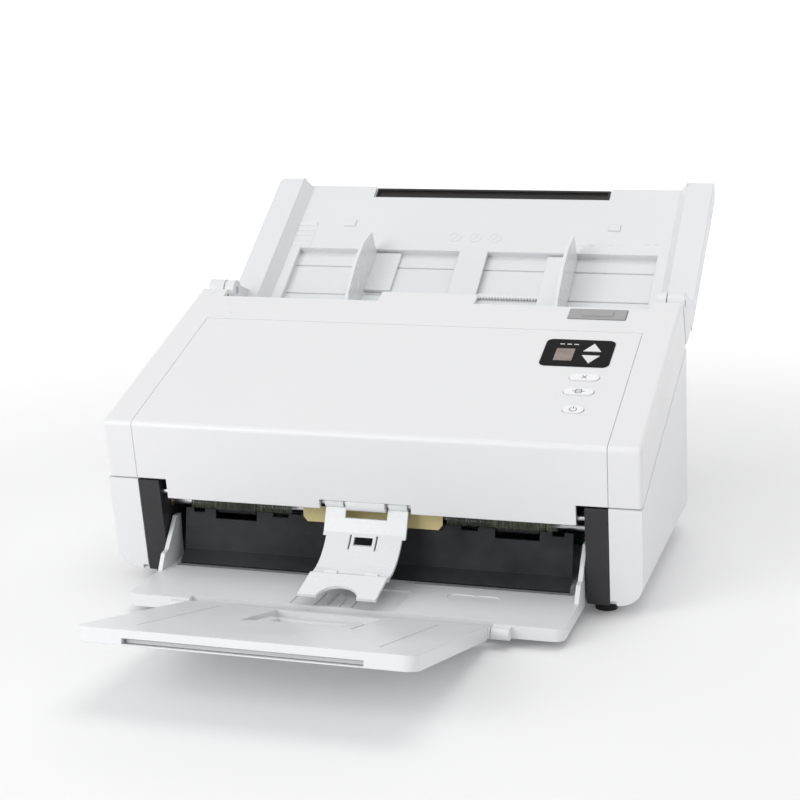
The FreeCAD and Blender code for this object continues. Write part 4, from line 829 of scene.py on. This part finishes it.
def placeLamps():
    for name, lamp in lamps.items():
        lampData = bpy.data.lights.new(name, "AREA")
        lampData.energy = lamp["power"]
        lampData.size = lamp["size"]
        lampObject = bpy.data.objects.new(name, lampData)
        bpy.context.collection.objects.link(lampObject)
        lampObject.location = lamp["place"]
        aim = Vector(surround["aim"]) - Vector(lamp["place"])
        lampObject.rotation_euler = aim.to_track_quat("-Z", "Y").to_euler()
    world = bpy.data.worlds.new("studioWorld")
    world.use_nodes = True
    background = world.node_tree.nodes["Background"]
    background.inputs["Color"].default_value = surround["colour"]
    background.inputs["Strength"].default_value = surround["strength"]
    bpy.context.scene.world = world
    bpy.context.scene.view_settings.view_transform = "Standard"


floorSetting = {
    "size": 8, "margin": 0.1, "wall": 4, "sweep": 1.5, "sweepSteps": 16,
    "colour": (0.87, 0.87, 0.875), "pale": (0.89, 0.89, 0.89), "cloudScale": 2.0,
    "clouds": (0.2, 0.8), "roughness": (0.6, 0.75), "glowFrom": 0.35, "glowTo": 1.3,
    "glow": (0.05, 0.42),
}


def makeFloor():
    # a wide flat floor, raised at the back over a curve, that glows a little more with distance
    clearSelection()
    bpy.ops.mesh.primitive_plane_add(size=floorSetting["size"], location=(0, 0, 0))
    floor = named("studioFloor")
    margin = floorSetting["margin"]
    rear = floorSetting["size"] / 2 - margin
    pickEdges(floor, lambda a, b: min(a.y, b.y) > rear)
    bpy.ops.mesh.extrude_edges_move(TRANSFORM_OT_translate={"value": (0, 0, floorSetting["wall"])})
    pickEdges(floor, lambda a, b: min(a.y, b.y) > rear and max(a.z, b.z) < margin)
    bpy.ops.mesh.bevel(offset=floorSetting["sweep"], segments=floorSetting["sweepSteps"])
    leaveEdit()
    bpy.ops.object.shade_smooth()
    material, tree, shader, place = startMaterial("pale studio floor")
    cloud = noise(tree, place, floorSetting["cloudScale"], 3.0)
    paint(tree, shader, blendColour(tree, cloud, floorSetting["colour"], floorSetting["pale"]),
          spread(tree, cloud, *floorSetting["clouds"], *floorSetting["roughness"]))
    shader.inputs["Emission Color"].default_value = (1.0, 1.0, 1.0, 1.0)
    away = addNode(tree, "ShaderNodeVectorMath", {"operation": "LENGTH"}, feeds={0: place})
    glow = spread(tree, away.outputs["Value"], floorSetting["glowFrom"], floorSetting["glowTo"],
                  *floorSetting["glow"])
    tree.links.new(glow, shader.inputs["Emission Strength"])
    floor.data.materials.append(material)


placeCamera()
placeLamps()
makeFloor()
print("studio ready")
